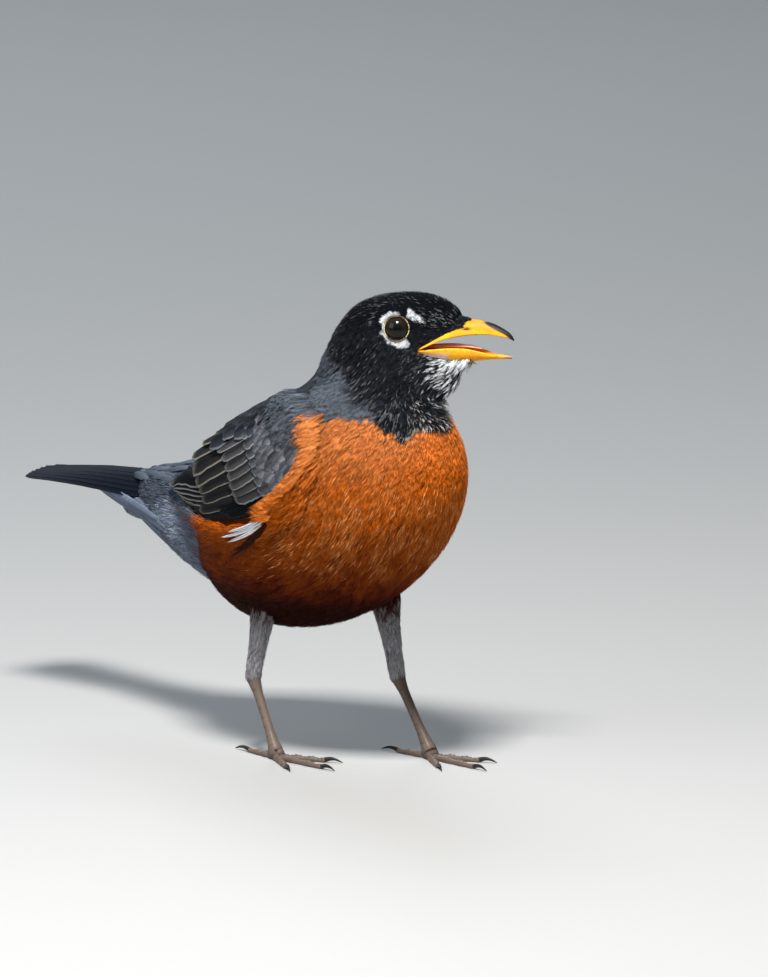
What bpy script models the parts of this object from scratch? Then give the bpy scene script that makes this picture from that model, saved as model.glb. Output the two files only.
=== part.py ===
"""American robin (Turdus migratorius), adult male: a life-size model that stands with its bill open.

X points forward along the body, Y to the bird's left and Z up. Lengths are in metres: the tables are
written in millimetres and scaled by MM, and angles are in degrees.

Flesh and coat are one blended volume, made of a few ellipsoids for the skull, neck, breast and so on.
Spokes from a bent spine read its surface. Thin plane cuts part it into head, neck and trunk, and the
folded wings lie on that same surface. Touching pieces keep a small gap.
"""

import math

import bmesh
import bpy
import numpy as np
from mathutils import Matrix, Vector

MM = 0.001
GAP = 0.3  # mm between touching pieces
SIDES = {"left": 1, "right": -1}

# ---------------------------------------------------------------- driving dimensions, in mm
HEAD_CENTRE = (25.5, 6.0, 150.3)  # midway between the eyes
HEAD_YAW = 30.0  # the head looks this far to the bird's left
BLEND = 2.0  # how softly the ellipsoids run together
BODY_RINGS = 56
BODY_SEGMENTS = 32

# Ellipsoids: centre, half lengths (along, across, up), pitch (nose up) and yaw (to the left).
TRUNK_MASSES = {
    "breast": ((-6.5, 0, 85.5), (62.5, 34, 38.5), 27.5, 0),
    "back": ((-34.5, 0, 92.5), (48, 23.5, 18.5), 22, 0),
    "shoulders": ((-2, 0, 110), (32, 27.5, 17), 35.5, 0),
    "rump": ((-80.5, 0, 80.5), (37, 9, 9), 17, 0),
    "vent": ((-72, 0, 67.5), (34, 14, 13), -24.5, 0),
    "neck": ((13.5, 2, 128.5), (23.5, 14.5, 21.5), 60, 15),
}
# The same, from the middle of the head and turned with it.
HEAD_MASSES = {
    "skull": ((-5.5, 0, -1), (15.5, 11, 10), 0, 0),
    "cheeks": ((-10.5, 0, -7), (15, 10, 10), 0, 0),
    "face": ((5, 0, 0.5), (15.5, 6.2, 9.8), -2.5, 0),
    "chin": ((6, 0, -10.5), (14, 4.2, 16), -1, 0),
}

# The spine: x, y, z, then the pitch and yaw that each ring round it faces.
SPINE = np.array(
    [
        (-113, 0, 71.5, 8, 0),
        (-72, 0, 77, 0, 0),
        (-40, 0, 80, 12, 0),
        (-8, 0, 88, 22, 0),
        (8, 0, 98, 38, 0),
        (15, 1, 113, 56, 4),
        (19, 2.5, 124, 64, 9),
        (21, 4, 133, 58, 16),
        (23.5, 5.5, 142, 41, 24),
        (29, 8, 147, 25, 30),
        (35, 11.5, 147, 12, 30),
        (41.9, 15.5, 146.6, 0, 30),
    ],
    float,
)
NECK_BASE = ((22, 0, 112), 66, 4)  # a point, pitch and yaw for each cut
NECK_TOP = ((20, 3, 141), 54, 24)

EYE_RADIUS = 4.7
EYE_AHEAD, EYE_SIDEWAYS, EYE_UP = -1.2, 7.1, -1.1  # its middle, from the middle of the head

# The bill, from the middle of the head: along, half width, upper edge and lower edge.
UPPER_BILL = np.array(
    [
        (6.5, 7.2, -6.2, -7.7),
        (10, 6.5, -3.6, -6.1),
        (14, 5.5, -0.4, -4.3),
        (18, 4.4, 1.9, -3.3),
        (22, 3.7, 2.5, -2.5),
        (26, 3.0, 2.3, -1.7),
        (29.5, 2.4, 1.4, -1.4),
        (32.5, 1.7, -0.3, -1.9),
        (35.5, 1.0, -2.0, -2.9),
        (37.6, 0.35, -3.5, -4.1),
    ],
    float,
)
LOWER_BILL = np.array(
    [
        (6.5, 7.2, -8.0, -9.6),
        (10, 6.4, -7.6, -11.0),
        (14, 5.1, -7.2, -11.7),
        (18, 4.1, -7.0, -11.8),
        (22, 3.4, -7.1, -11.5),
        (26, 2.8, -7.8, -10.9),
        (30, 2.1, -8.7, -10.6),
        (34, 1.3, -9.2, -10.2),
        (37.0, 0.35, -9.5, -9.9),
    ],
    float,
)
TONGUE = np.array(
    [
        (9, 2.4, -7.4, -8.4),
        (14, 2.4, -6.0, -7.6),
        (19, 2.0, -5.6, -7.3),
        (24, 1.1, -5.7, -6.9),
        (27, 0.3, -5.9, -6.4),
    ],
    float,
)

# A folded wing, from shoulder to tip: place on the spine, and its top and low edges round the body.
WING = np.array(
    [
        (5.05, 50, 82),
        (4.6, 34, 98),
        (4.0, 24, 104),
        (3.3, 19, 103),
        (2.6, 16, 101),
        (2.0, 15, 98),
        (1.5, 17, 91),
        (1.05, 26, 79),
        (0.75, 38, 67),
        (0.58, 46, 57),
    ],
    float,
)
WING_GAP = 0.7  # between a wing and the flank that it lies on
WING_EDGE = 0.8
WING_DEPTH = 3.2

# The folded tail: x, half width, ridge height and how far its edges droop.
TAIL = np.array(
    [
        (-84, 9, 86.5, 8),
        (-98, 11, 84.5, 8.8),
        (-112, 12.3, 83.6, 6.8),
        (-126, 13.2, 82.4, 4.6),
        (-140, 13.8, 80.6, 2.4),
        (-150, 13.6, 79.2, 1.2),
        (-154, 10, 78.6, 0.6),
    ],
    float,
)
TAIL_THICKNESS = 1.8

# Legs: knee inside the belly, ankle, and the ball of the foot, as x, distance from the middle and z.
LEGS = {
    "left": ((3, 13.5, 60), (5.0, 18.8, 26), (20.0, 20, 3.2)),
    "right": ((-23, 14, 60), (-25.8, 18.6, 26), (-12.5, 20, 3.2)),
}
THIGH_RADII = (2.9, 7.4)  # at the ankle and inside the belly
# A bare tarsus: distance below the ankle, and radius.
TARSUS = ((-2.2, 1.2), (-1.2, 2.2), (0, 2.6), (2.5, 2.1), (6, 1.65), (14, 1.5), (20, 1.6), (24, 2.0))
BALL_RADIUS = 2.6
# Toes: heading from straight ahead (outwards is positive), start and end from the ball, claw length.
TOES = {
    "inner": (-30, 4.8, 18, 6.0),
    "middle": (-1, 4.8, 24, 6.5),
    "outer": (28, 4.8, 18.5, 6.0),
    "hind": (184, 3.0, 15, 8.0),
}
TOE_RADIUS = 1.25
CLAW_RADIUS = 1.1
CLAW_TIP = 0.25
CLAW_RISE = 0.9


# ---------------------------------------------------------------- the blended volume
def turn(pitch, yaw):
    """A rotation that lifts +X by pitch, then turns it to the left by yaw."""
    lift = Matrix.Rotation(math.radians(-pitch), 3, "Y")
    return np.array(Matrix.Rotation(math.radians(yaw), 3, "Z") @ lift)


def in_head(points):
    """Points given from the middle of the head as (along, across, up), in the body's frame."""
    return np.array(HEAD_CENTRE) + np.asarray(points, float) @ turn(0, HEAD_YAW).T


def masses():
    """Every ellipsoid as its centre, half lengths and turn."""
    for centre, half, pitch, yaw in TRUNK_MASSES.values():
        yield np.array(centre), np.array(half), turn(pitch, yaw)
    for centre, half, pitch, yaw in HEAD_MASSES.values():
        yield in_head(centre), np.array(half), turn(pitch, HEAD_YAW + yaw)


def flesh_distance(points):
    """About how far points are outside the blended volume, and negative inside it."""
    closeness = 0
    for centre, half, axes in masses():
        local = (points - centre) @ axes
        scaled = np.linalg.norm(local / half, axis=-1)
        slope = np.linalg.norm(local / half**2, axis=-1)
        distance = scaled * (scaled - 1) / np.maximum(slope, 1e-9)
        closeness = closeness + np.exp(-distance / BLEND)
    return -BLEND * np.log(closeness)


def smooth_rows(table, at):
    """The table's rows read at fractional row numbers, along a Catmull-Rom curve."""
    ends = np.vstack([2 * table[0] - table[1], table, 2 * table[-1] - table[-2]])
    row = np.clip(np.floor(at).astype(int), 0, len(table) - 2)
    t = (at - row)[..., None]
    a, b, c, d = (ends[row + k] for k in range(4))
    bend = (2 * a - 5 * b + 4 * c - d) * t**2 + (3 * b - a - 3 * c + d) * t**3
    return 0.5 * (2 * b + (c - a) * t + bend)


def on_flesh(place, angle, level=0.0):
    """Where spokes from places on the spine, at angles from the top, reach a level above the flesh."""
    place, angle = np.broadcast_arrays(np.asarray(place, float), np.radians(angle))
    rows = smooth_rows(SPINE, place)
    axes = np.array([turn(*row[3:]) for row in rows.reshape(-1, 5)]).reshape(*place.shape, 3, 3)
    spokes = np.cos(angle)[..., None] * axes[..., 2] + np.sin(angle)[..., None] * axes[..., 1]
    reach = np.arange(0.0, 80.0)
    outside = flesh_distance(rows[..., None, :3] + spokes[..., None, :] * reach[:, None])
    far = reach[np.argmax(outside > np.asarray(level)[..., None], axis=-1)]
    near = far - 1
    for _ in range(16):
        middle = (near + far) / 2
        outside = flesh_distance(rows[..., :3] + spokes * middle[..., None]) > level
        near, far = np.where(outside, near, middle), np.where(outside, middle, far)
    return rows[..., :3] + spokes * far[..., None]


# ---------------------------------------------------------------- making pieces
def material(name, colour, roughness):
    """A plain surface of one colour."""
    made = bpy.data.materials.new(name)
    made.use_nodes = True
    surface = made.node_tree.nodes["Principled BSDF"]
    surface.inputs["Base Color"].default_value = (*colour, 1)
    surface.inputs["Roughness"].default_value = roughness
    made.diffuse_color = (*colour, 1)
    return made


def finished(name, mesh_data, finish):
    """An object of the solid in mesh_data, facing outwards and shaded smooth."""
    bmesh.ops.recalc_face_normals(mesh_data, faces=mesh_data.faces)
    mesh = bpy.data.meshes.new(name)
    mesh_data.to_mesh(mesh)
    mesh_data.free()
    mesh.shade_smooth()
    mesh.set_sharp_from_angle(angle=math.radians(50))
    mesh.materials.append(finish)
    made = bpy.data.objects.new(name, mesh)
    bpy.context.scene.collection.objects.link(made)
    made.parent = ROBIN
    return made


def lofted(name, loops, finish):
    """A closed solid through rings of points in mm, with a fan over each end."""
    mesh_data = bmesh.new()
    made = [[mesh_data.verts.new(p * MM) for p in ring] for ring in np.asarray(loops)]
    for ring, following in zip(made, made[1:]):
        for k in range(len(ring)):
            mesh_data.faces.new((ring[k], ring[k - 1], following[k - 1], following[k]))
    for ring in (made[0], made[-1]):
        hub = mesh_data.verts.new(sum((v.co for v in ring), Vector()) / len(ring))
        for k in range(len(ring)):
            mesh_data.faces.new((hub, ring[k - 1], ring[k]))
    return finished(name, mesh_data, finish)


def tube_loops(path, radii, across, segments=10, flat_at=None):
    """Rings round a path, with anything lower than flat_at pressed up to it; across is sideways."""
    path = np.asarray(path, float)
    heading = np.gradient(path, axis=0)
    up = np.cross(heading, across)
    up /= np.linalg.norm(up, axis=1)[:, None]
    side = np.cross(up, heading)
    side /= np.linalg.norm(side, axis=1)[:, None]
    angle = np.radians(np.linspace(0, 360, segments, endpoint=False))[:, None]
    spokes = np.cos(angle) * side[:, None] + np.sin(angle) * up[:, None]
    loops = path[:, None] + spokes * np.asarray(radii, float)[:, None, None]
    if flat_at is not None:
        loops[..., 2] = np.maximum(loops[..., 2], flat_at)
    return loops


def parted(name, source, cuts, finish):
    """The part of a closed solid behind every cut, each a point and the way that the waste lies."""
    mesh_data = bmesh.new()
    mesh_data.from_mesh(source.data)
    for point, waste in cuts:
        everything = [*mesh_data.verts, *mesh_data.edges, *mesh_data.faces]
        made = bmesh.ops.bisect_plane(
            mesh_data, geom=everything, plane_co=point, plane_no=waste, clear_outer=True
        )
        rim = [edge for edge in made["geom_cut"] if isinstance(edge, bmesh.types.BMEdge)]
        bmesh.ops.holes_fill(mesh_data, edges=rim)
    return finished(name, mesh_data, finish)


def change_by(piece, helper, operation="DIFFERENCE"):
    """Cuts helper away from piece, or joins it on. The helper itself isn't part of the model."""
    helper.hide_render = True
    helper.display_type = "WIRE"
    boolean = piece.modifiers.new(helper.name, "BOOLEAN")
    boolean.operation = operation
    boolean.solver = "EXACT"
    boolean.object = helper


# ---------------------------------------------------------------- head, neck and trunk
def build_body():
    """The whole blended volume, parted into trunk, neck and head."""
    places = np.linspace(0, len(SPINE) - 1, BODY_RINGS)[:, None]
    angles = np.linspace(0, 360, BODY_SEGMENTS, endpoint=False)
    whole = lofted("whole_body", on_flesh(places, angles), BREAST)
    base, top = [(Vector(at) * MM, Vector(turn(*way)[:, 0])) for at, *way in (NECK_BASE, NECK_TOP)]
    half_gap = GAP * MM / 2
    behind = [(at - along * half_gap, along) for at, along in (base, top)]
    ahead = [(at + along * half_gap, -along) for at, along in (base, top)]
    pieces = {
        "trunk": parted("trunk", whole, [behind[0]], BREAST),
        "neck": parted("neck", whole, [ahead[0], behind[1]], SLATE),
        "head": parted("head", whole, [ahead[1]], BLACK),
    }
    bpy.data.objects.remove(whole)
    return pieces


def body_clearance():
    """A little more than the trunk as far as the neck, to cut what grows out of it."""
    places = np.linspace(0, 5, 44)[:, None]
    angles = np.linspace(0, 360, BODY_SEGMENTS, endpoint=False)
    return lofted("trunk_clearance", on_flesh(places, angles, GAP), BREAST)


# ---------------------------------------------------------------- bill, tongue and eyes
def bill_loops(table, arched, swell=0.0, rows=11, segments=12):
    """Half a bill, from gape to tip: arched upwards (1) or downwards (-1), flat on its cutting side."""
    along, half_width, high, low = smooth_rows(table, np.linspace(0, len(table) - 1, rows)).T[:, :, None]
    angle = np.radians(np.linspace(0, 360, segments, endpoint=False)) * arched
    edge, height = (low, high - low) if arched > 0 else (high, low - high)
    rise = np.maximum(np.sin(angle) * arched, -0.06)
    up = edge + rise * (height + arched * swell)
    across = (half_width + swell) * np.cos(angle)
    return in_head(np.stack([along + 0 * up, across, up], axis=-1))


def build_bill(head):
    """Both halves of the bill, with the tongue on the lower one, and the opening in the head for them."""
    lofted("bill_upper", bill_loops(UPPER_BILL, 1), HORN)
    lower = lofted("bill_lower", bill_loops(LOWER_BILL, -1), HORN)
    tongue = lofted("tongue", bill_loops(TONGUE, 1, rows=8, segments=8), MOUTH)
    change_by(lower, tongue, "UNION")
    above = bill_loops(UPPER_BILL, 1, GAP)[:, :7]
    below = bill_loops(LOWER_BILL, -1, GAP)[:, :7]
    room = np.concatenate([above, below[:, ::-1]], axis=1)
    room[0] -= turn(0, HEAD_YAW)[:, 0] * GAP
    change_by(head, lofted("bill_room", room, MOUTH))


def ball_loops(centre, radius, rows=10, segments=16):
    """Rings of a ball from one pole to the other, along the line across the head."""
    polar = np.radians(np.linspace(6, 174, rows))[:, None]
    angle = np.radians(np.linspace(0, 360, segments, endpoint=False))
    ring = np.sin(polar)
    out = np.stack([ring * np.cos(angle), np.cos(polar) + 0 * angle, ring * np.sin(angle)], axis=-1)
    return in_head(np.asarray(centre) + radius * out)


def build_eye(side, sign, head):
    """A ball set into a socket in the head."""
    centre = (EYE_AHEAD, sign * EYE_SIDEWAYS, EYE_UP)
    lofted(f"eye_{side}", ball_loops(centre, EYE_RADIUS), EYE)
    change_by(head, lofted(f"eye_{side}_clearance", ball_loops(centre, EYE_RADIUS + GAP), EYE))


# ---------------------------------------------------------------- wings and tail
def build_wing(side, sign):
    """A shell on the body's flank, deepest along its middle, from the shoulder to the primary tips."""
    place, top, low = smooth_rows(WING, np.linspace(0, len(WING) - 1, 18)).T[:, :, None]
    across = np.linspace(0, 1, 8)
    angle = top + (low - top) * across
    depth = WING_EDGE + WING_DEPTH * np.sin(np.pi * across) ** 0.8 + 0 * place
    outer = on_flesh(place + 0 * across, angle * sign, WING_GAP + depth)
    inner = on_flesh(place + 0 * across, angle * sign, WING_GAP + 0 * depth)
    lofted(f"wing_{side}", np.concatenate([outer, inner[:, ::-1]], axis=1), SLATE)


def build_tail(clearance):
    """The folded tail: a thin blade with a low ridge along its middle."""
    x, half_width, ridge, droop = smooth_rows(TAIL, np.linspace(0, len(TAIL) - 1, 16)).T[:, :, None]
    across = np.linspace(-1, 1, 9)
    top = ridge - droop * across**2
    under = top - TAIL_THICKNESS * (1 - 0.6 * across**2)
    faces = [np.stack([x + 0 * across, half_width * across, z], axis=-1) for z in (top, under)]
    tail = lofted("tail", np.concatenate([faces[0], faces[1][:, ::-1]], axis=1), DARK)
    change_by(tail, clearance)


# ---------------------------------------------------------------- legs and feet
def build_leg(side, sign, clearance):
    """A feathered shank, a bare tarsus, and toes that lie on the floor with their claws."""
    knee, ankle, ball = (np.array((x, sign * y, z), float) for x, y, z in LEGS[side])
    t = np.linspace(0, 1, 9)
    low_radius, high_radius = THIGH_RADII
    radii = low_radius + (high_radius - low_radius) * (1 - t) ** 2.2
    path = knee + np.outer(t, ankle - knee)
    thigh = lofted(f"thigh_{side}", tube_loops(path, radii, (0, 1, 0), 14), SHANK)
    down = (ball - ankle) / np.linalg.norm(ball - ankle)
    stops, radii = np.array(TARSUS).T
    sole = ball + (1.5, 0, -BALL_RADIUS)
    path = np.vstack([ankle + np.outer(stops, down), ball + down, sole])
    radii = np.append(radii, (BALL_RADIUS, BALL_RADIUS))
    lofted(f"tarsus_{side}", tube_loops(path, radii, (0, 1, 0), 10, 0.0), SCALE)
    change_by(thigh, clearance)
    room = lofted(f"tarsus_{side}_clearance", tube_loops(path, radii + GAP, (0, 1, 0)), SCALE)
    change_by(thigh, room)
    for toe in TOES:
        build_toe(toe, side, sign, ball)


def build_toe(toe, side, sign, ball):
    """A toe along the floor, swollen at its pads, and a curved claw that comes down to the floor."""
    heading, start, end, claw_length = TOES[toe]
    ahead = turn(0, heading * sign)[:, 0]
    across = turn(0, heading * sign)[:, 1]
    up = np.array((0, 0, 1))
    t = np.linspace(0, 1, 7)
    pads = TOE_RADIUS * (1 - 0.25 * t) * (1 + 0.1 * np.cos(6 * np.pi * t))
    pads[0] *= 0.85
    path = ball * (1, 1, 0) + np.outer(start + (end - start) * t, ahead) + np.outer(0.68 * pads, up)
    lofted(f"toe_{side}_{toe}", tube_loops(path, pads, across, 8, 0.0), SCALE)
    t = np.linspace(0, 1, 5)
    root = path[-1] + ahead * GAP
    rise = CLAW_RISE * np.sin(np.pi * t) - (root[2] - CLAW_TIP) * t
    claw = root + np.outer(claw_length * t, ahead) + np.outer(rise, up)
    radii = CLAW_TIP + (CLAW_RADIUS - CLAW_TIP) * (1 - t) ** 0.8
    lofted(f"claw_{side}_{toe}", tube_loops(claw, radii, across, 6, 0.0), CLAW)


def stand_on_origin():
    """Moves the whole bird so that the middle of its box's floor side lies at the origin."""
    bpy.context.view_layer.update()
    graph = bpy.context.evaluated_depsgraph_get()
    shown = [o.evaluated_get(graph) for o in bpy.data.objects if o.type == "MESH" and not o.hide_render]
    corners = np.array([o.matrix_world @ Vector(corner) for o in shown for corner in o.bound_box])
    low, high = corners.min(axis=0), corners.max(axis=0)
    ROBIN.location = (-(low[0] + high[0]) / 2, -(low[1] + high[1]) / 2, -low[2])


for old in list(bpy.data.objects):
    bpy.data.objects.remove(old)

ROBIN = bpy.data.objects.new("robin", None)
bpy.context.scene.collection.objects.link(ROBIN)
BLACK = material("black_head_feathers", (0.02, 0.02, 0.025), 0.6)
SLATE = material("slate_grey_feathers", (0.11, 0.11, 0.12), 0.65)
BREAST = material("orange_breast_feathers", (0.55, 0.13, 0.02), 0.7)
DARK = material("dark_tail_feathers", (0.03, 0.03, 0.035), 0.55)
SHANK = material("pale_leg_feathers", (0.35, 0.31, 0.3), 0.7)
HORN = material("yellow_bill_horn", (0.8, 0.38, 0.03), 0.35)
MOUTH = material("orange_mouth_skin", (0.7, 0.2, 0.04), 0.4)
EYE = material("dark_brown_eye", (0.02, 0.01, 0.006), 0.05)
SCALE = material("grey_brown_leg_scales", (0.1, 0.075, 0.06), 0.45)
CLAW = material("blackish_claw_horn", (0.03, 0.025, 0.022), 0.35)

body = build_body()
trunk_room = body_clearance()
build_bill(body["head"])
build_tail(trunk_room)
for side_name, side_sign in SIDES.items():
    build_eye(side_name, side_sign, body["head"])
    build_wing(side_name, side_sign)
    build_leg(side_name, side_sign, trunk_room)
stand_on_origin()
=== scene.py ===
"""The looks of an adult male American robin: skin, eyes, bill, legs, and every feather as solid mesh.

Lengths are in millimetres in the bird's own frame (X ahead along the body, Y to its left, Z up, with the
floor at zero), until shape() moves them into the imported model's frame and turns them into metres.
"""

import bpy
import numpy as np
from mathutils import Matrix, Vector


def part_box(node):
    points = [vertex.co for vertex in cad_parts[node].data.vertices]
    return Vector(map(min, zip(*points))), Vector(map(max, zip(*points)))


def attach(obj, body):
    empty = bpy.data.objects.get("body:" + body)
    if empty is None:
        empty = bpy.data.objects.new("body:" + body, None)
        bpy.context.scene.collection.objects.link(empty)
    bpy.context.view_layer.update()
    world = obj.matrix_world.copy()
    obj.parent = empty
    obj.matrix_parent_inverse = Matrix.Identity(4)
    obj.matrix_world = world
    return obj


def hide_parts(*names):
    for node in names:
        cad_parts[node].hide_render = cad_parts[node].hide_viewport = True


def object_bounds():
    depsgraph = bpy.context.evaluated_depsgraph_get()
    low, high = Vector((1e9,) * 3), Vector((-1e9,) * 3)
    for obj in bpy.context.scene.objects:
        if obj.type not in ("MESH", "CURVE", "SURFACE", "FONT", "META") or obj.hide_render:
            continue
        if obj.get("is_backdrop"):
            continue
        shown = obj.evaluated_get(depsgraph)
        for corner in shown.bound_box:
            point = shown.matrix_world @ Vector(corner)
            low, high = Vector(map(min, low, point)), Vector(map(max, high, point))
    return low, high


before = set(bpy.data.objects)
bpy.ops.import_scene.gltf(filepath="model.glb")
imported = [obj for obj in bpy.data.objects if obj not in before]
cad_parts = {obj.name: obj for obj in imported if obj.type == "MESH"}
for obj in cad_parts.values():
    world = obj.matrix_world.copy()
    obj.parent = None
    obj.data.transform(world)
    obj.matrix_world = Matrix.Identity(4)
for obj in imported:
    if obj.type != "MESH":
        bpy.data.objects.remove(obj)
cad_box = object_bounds()

# ------------------------------------------------------------------ studio: camera, floor and light
# A plain pale floor, a soft lamp high in front of the bird, a weaker one on the camera's left and one behind.
# The camera looks a little down at the bird's right front, from far away, so that nothing is foreshortened.
AZIMUTH, ELEVATION = np.radians(50), np.radians(10)
CAMERA_DISTANCE = 7.0
FRAME_HEIGHT = 0.32567  # of the picture, at the bird
SENSOR_WIDTH = 36.0
AIM_FROM_EYES = (-0.0068, -0.0542)  # to the right and up, as the camera sees it
LAMPS = (  # name, place to the right, up and near as the camera sees the bird, size, watts, colour
    ("key_lamp", -0.06, 0.97, 0.54, 0.24, 30.0, (1.0, 0.98, 0.95)),
    ("fill_lamp", -0.95, 0.55, 0.6, 0.8, 5.0, (0.93, 0.96, 1.0)),
    ("back_lamp", -0.4, 1.25, -1.85, 1.0, 20.0, (0.85, 0.93, 1.0)),
)
SKY_COLOUR, SKY_STRENGTH = (0.66, 0.79, 0.96, 1), 0.16
FLOOR_COLOUR, FLOOR_HALF = (0.34, 0.34, 0.335, 1), 30.0


def middle_of(*nodes):
    """The middle of the box round CAD nodes."""
    boxes = np.array([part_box(node) for node in nodes], float)
    return (boxes[:, 0].min(axis=0) + boxes[:, 1].max(axis=0)) / 2


level_way = np.array((np.sin(AZIMUTH), -np.cos(AZIMUTH), 0))
to_camera = level_way * np.cos(ELEVATION) + np.array((0, 0, np.sin(ELEVATION)))
camera_right = np.array((np.cos(AZIMUTH), np.sin(AZIMUTH), 0))
camera_up = np.cross(to_camera, camera_right)
aim = middle_of("eye_left", "eye_right") + camera_right * AIM_FROM_EYES[0] + camera_up * AIM_FROM_EYES[1]

camera = bpy.data.objects.new("camera", bpy.data.cameras.new("camera"))
camera.data.sensor_width = SENSOR_WIDTH
camera.data.lens = SENSOR_WIDTH * CAMERA_DISTANCE / FRAME_HEIGHT
camera.data.clip_end = 50
camera.location = aim + to_camera * CAMERA_DISTANCE
camera.rotation_euler = Vector(to_camera).to_track_quat("Z", "Y").to_euler()
bpy.context.scene.collection.objects.link(camera)
bpy.context.scene.camera = camera
bpy.context.scene.view_settings.view_transform = "Standard"

for name, right, up, near, size, watts, colour in LAMPS:
    lamp = bpy.data.objects.new(name, bpy.data.lights.new(name, "AREA"))
    lamp.data.size = size
    lamp.data.energy = watts
    lamp.data.color = colour
    away = camera_right * right + np.array((0, 0, 1)) * up + to_camera * (1, 1, 0) * near
    lamp.location = aim + away
    lamp.rotation_euler = Vector(away).to_track_quat("Z", "Y").to_euler()
    bpy.context.scene.collection.objects.link(lamp)


def feed(node, inputs):
    """Gives a node's inputs, by name or number, a value each or the output of another node."""
    for socket, given in inputs.items():
        if isinstance(given, bpy.types.NodeSocket):
            node.id_data.links.new(given, node.inputs[socket])
        else:
            node.inputs[socket].default_value = given


def new_finish(name, inputs):
    """A new material whose surface takes these inputs, and its node tree."""
    finish = bpy.data.materials.new(name)
    finish.use_nodes = True
    feed(finish.node_tree.nodes["Principled BSDF"], inputs)
    return finish, finish.node_tree


world = bpy.data.worlds.new("studio")
world.use_nodes = True
feed(world.node_tree.nodes["Background"], {"Color": SKY_COLOUR, "Strength": SKY_STRENGTH})
bpy.context.scene.world = world

floor_mesh = bpy.data.meshes.new("floor")
floor_mesh.from_pydata([(x, y, 0) for x, y in ((-1, -1), (1, -1), (1, 1), (-1, 1))], [], [(0, 1, 2, 3)])
floor_mesh.transform(Matrix.Scale(FLOOR_HALF, 4))
floor_mesh.materials.append(new_finish("pale_floor", {"Base Color": FLOOR_COLOUR, "Roughness": 0.7})[0])
floor = bpy.data.objects.new("floor", floor_mesh)
bpy.context.scene.collection.objects.link(floor)
floor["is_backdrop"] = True

# ------------------------------------------------------------------ flesh: the body under its feathers
# A robin's body is muscle and bone under thin skin. Here it is one blended volume of ellipsoids, whose
# surface is the tips of the coat. Spokes from a bent spine find that surface, and the skin lies inside it.
MM = 0.001
HEAD_CENTRE = np.array((25.5, 6.0, 150.3))
EYE_PLACE = np.array((-1.2, 7.1, -1.1))  # from the middle of the head: ahead, sideways, up
HEAD_YAW = 30.0
BLEND = 2.0
MASSES = (  # in the head or not, centre, half lengths, pitch, yaw
    (0, (-6.5, 0, 85.5), (62.5, 34, 38.5), 27.5, 0),  # breast and belly
    (0, (-34.5, 0, 92.5), (48, 23.5, 18.5), 22, 0),  # back
    (0, (-2, 0, 110), (32, 27.5, 17), 35.5, 0),  # shoulders
    (0, (-80.5, 0, 80.5), (37, 9, 9), 17, 0),  # rump
    (0, (-72, 0, 67.5), (34, 14, 13), -24.5, 0),  # vent
    (0, (13.5, 2, 128.5), (23.5, 14.5, 21.5), 60, 15),  # neck
    (1, (-5.5, 0, -1), (15.5, 11, 10), 0, 0),  # skull
    (1, (-10.5, 0, -7), (15, 10, 10), 0, 0),  # cheeks
    (1, (5, 0, 0.5), (15.5, 6.2, 9.8), -2.5, 0),  # face
    (1, (6, 0, -10.5), (14, 4.2, 16), -1, 0),  # chin
)
SPINE = np.array(  # x, y, z, then the pitch and yaw that the ring there faces
    [
        (-113, 0, 71.5, 8, 0),
        (-72, 0, 77, 0, 0),
        (-40, 0, 80, 12, 0),
        (-8, 0, 88, 22, 0),
        (8, 0, 98, 38, 0),
        (15, 1, 113, 56, 4),
        (19, 2.5, 124, 64, 9),
        (21, 4, 133, 58, 16),
        (23.5, 5.5, 142, 41, 24),
        (29, 8, 147, 25, 30),
        (35, 11.5, 147, 12, 30),
        (41.9, 15.5, 146.6, 0, 30),
    ],
    float,
)
SPOKE_STEP, LONGEST_SPOKE, HALVINGS = 2.5, 80.0, 14
PLACES, ANGLES = 441, 240  # of the grid that holds the coat's surface


def unit(vectors):
    """Vectors of length 1."""
    return vectors / np.maximum(np.linalg.norm(vectors, axis=-1, keepdims=True), 1e-9)


def along(a, b):
    """How far each vector of a reaches along b."""
    return (a * b).sum(axis=-1, keepdims=True)


def turned(pitch, yaw):
    """Axes, as columns ahead, left and up, of a frame that looks up by pitch and left by yaw, in degrees."""
    pitch, yaw = np.radians(pitch), np.radians(yaw)
    ahead = np.stack([np.cos(pitch) * np.cos(yaw), np.cos(pitch) * np.sin(yaw), np.sin(pitch)], axis=-1)
    left = np.stack([-np.sin(yaw), np.cos(yaw), 0 * yaw], axis=-1)
    return np.stack([ahead, left, np.cross(ahead, left)], axis=-1)


HEAD_AXES = turned(0.0, HEAD_YAW)


def in_body(head_points):
    """Points given from the middle of the head as (ahead, left, up), in the bird's frame."""
    return HEAD_CENTRE + np.asarray(head_points, float) @ HEAD_AXES.T


def in_head(points):
    """The reverse of in_body."""
    return (points - HEAD_CENTRE) @ HEAD_AXES


TO_FRAME = middle_of("eye_left", "eye_right") / MM - in_body(EYE_PLACE * (1, 0, 1))


def flesh(points):
    """Distance outside the blended volume (a soft least of the ellipsoids' own distances), and its normal."""
    closeness, lean = 0, 0
    for in_the_head, centre, half, pitch, yaw in MASSES:
        centre = in_body(centre) if in_the_head else np.array(centre)
        axes, half = turned(pitch, yaw + HEAD_YAW * in_the_head), np.array(half)
        local = (points - centre) @ axes
        slope = local / half**2
        scaled = np.linalg.norm(local / half, axis=-1)
        steep = np.maximum(np.linalg.norm(slope, axis=-1), 1e-9)
        near = np.exp(-np.clip(scaled * (scaled - 1) / steep, -100, 200) / BLEND)
        closeness = closeness + near
        lean = lean + (near / steep)[..., None] * (slope @ axes.T)
    return -BLEND * np.log(np.maximum(closeness, 1e-300)), unit(lean)


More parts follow.
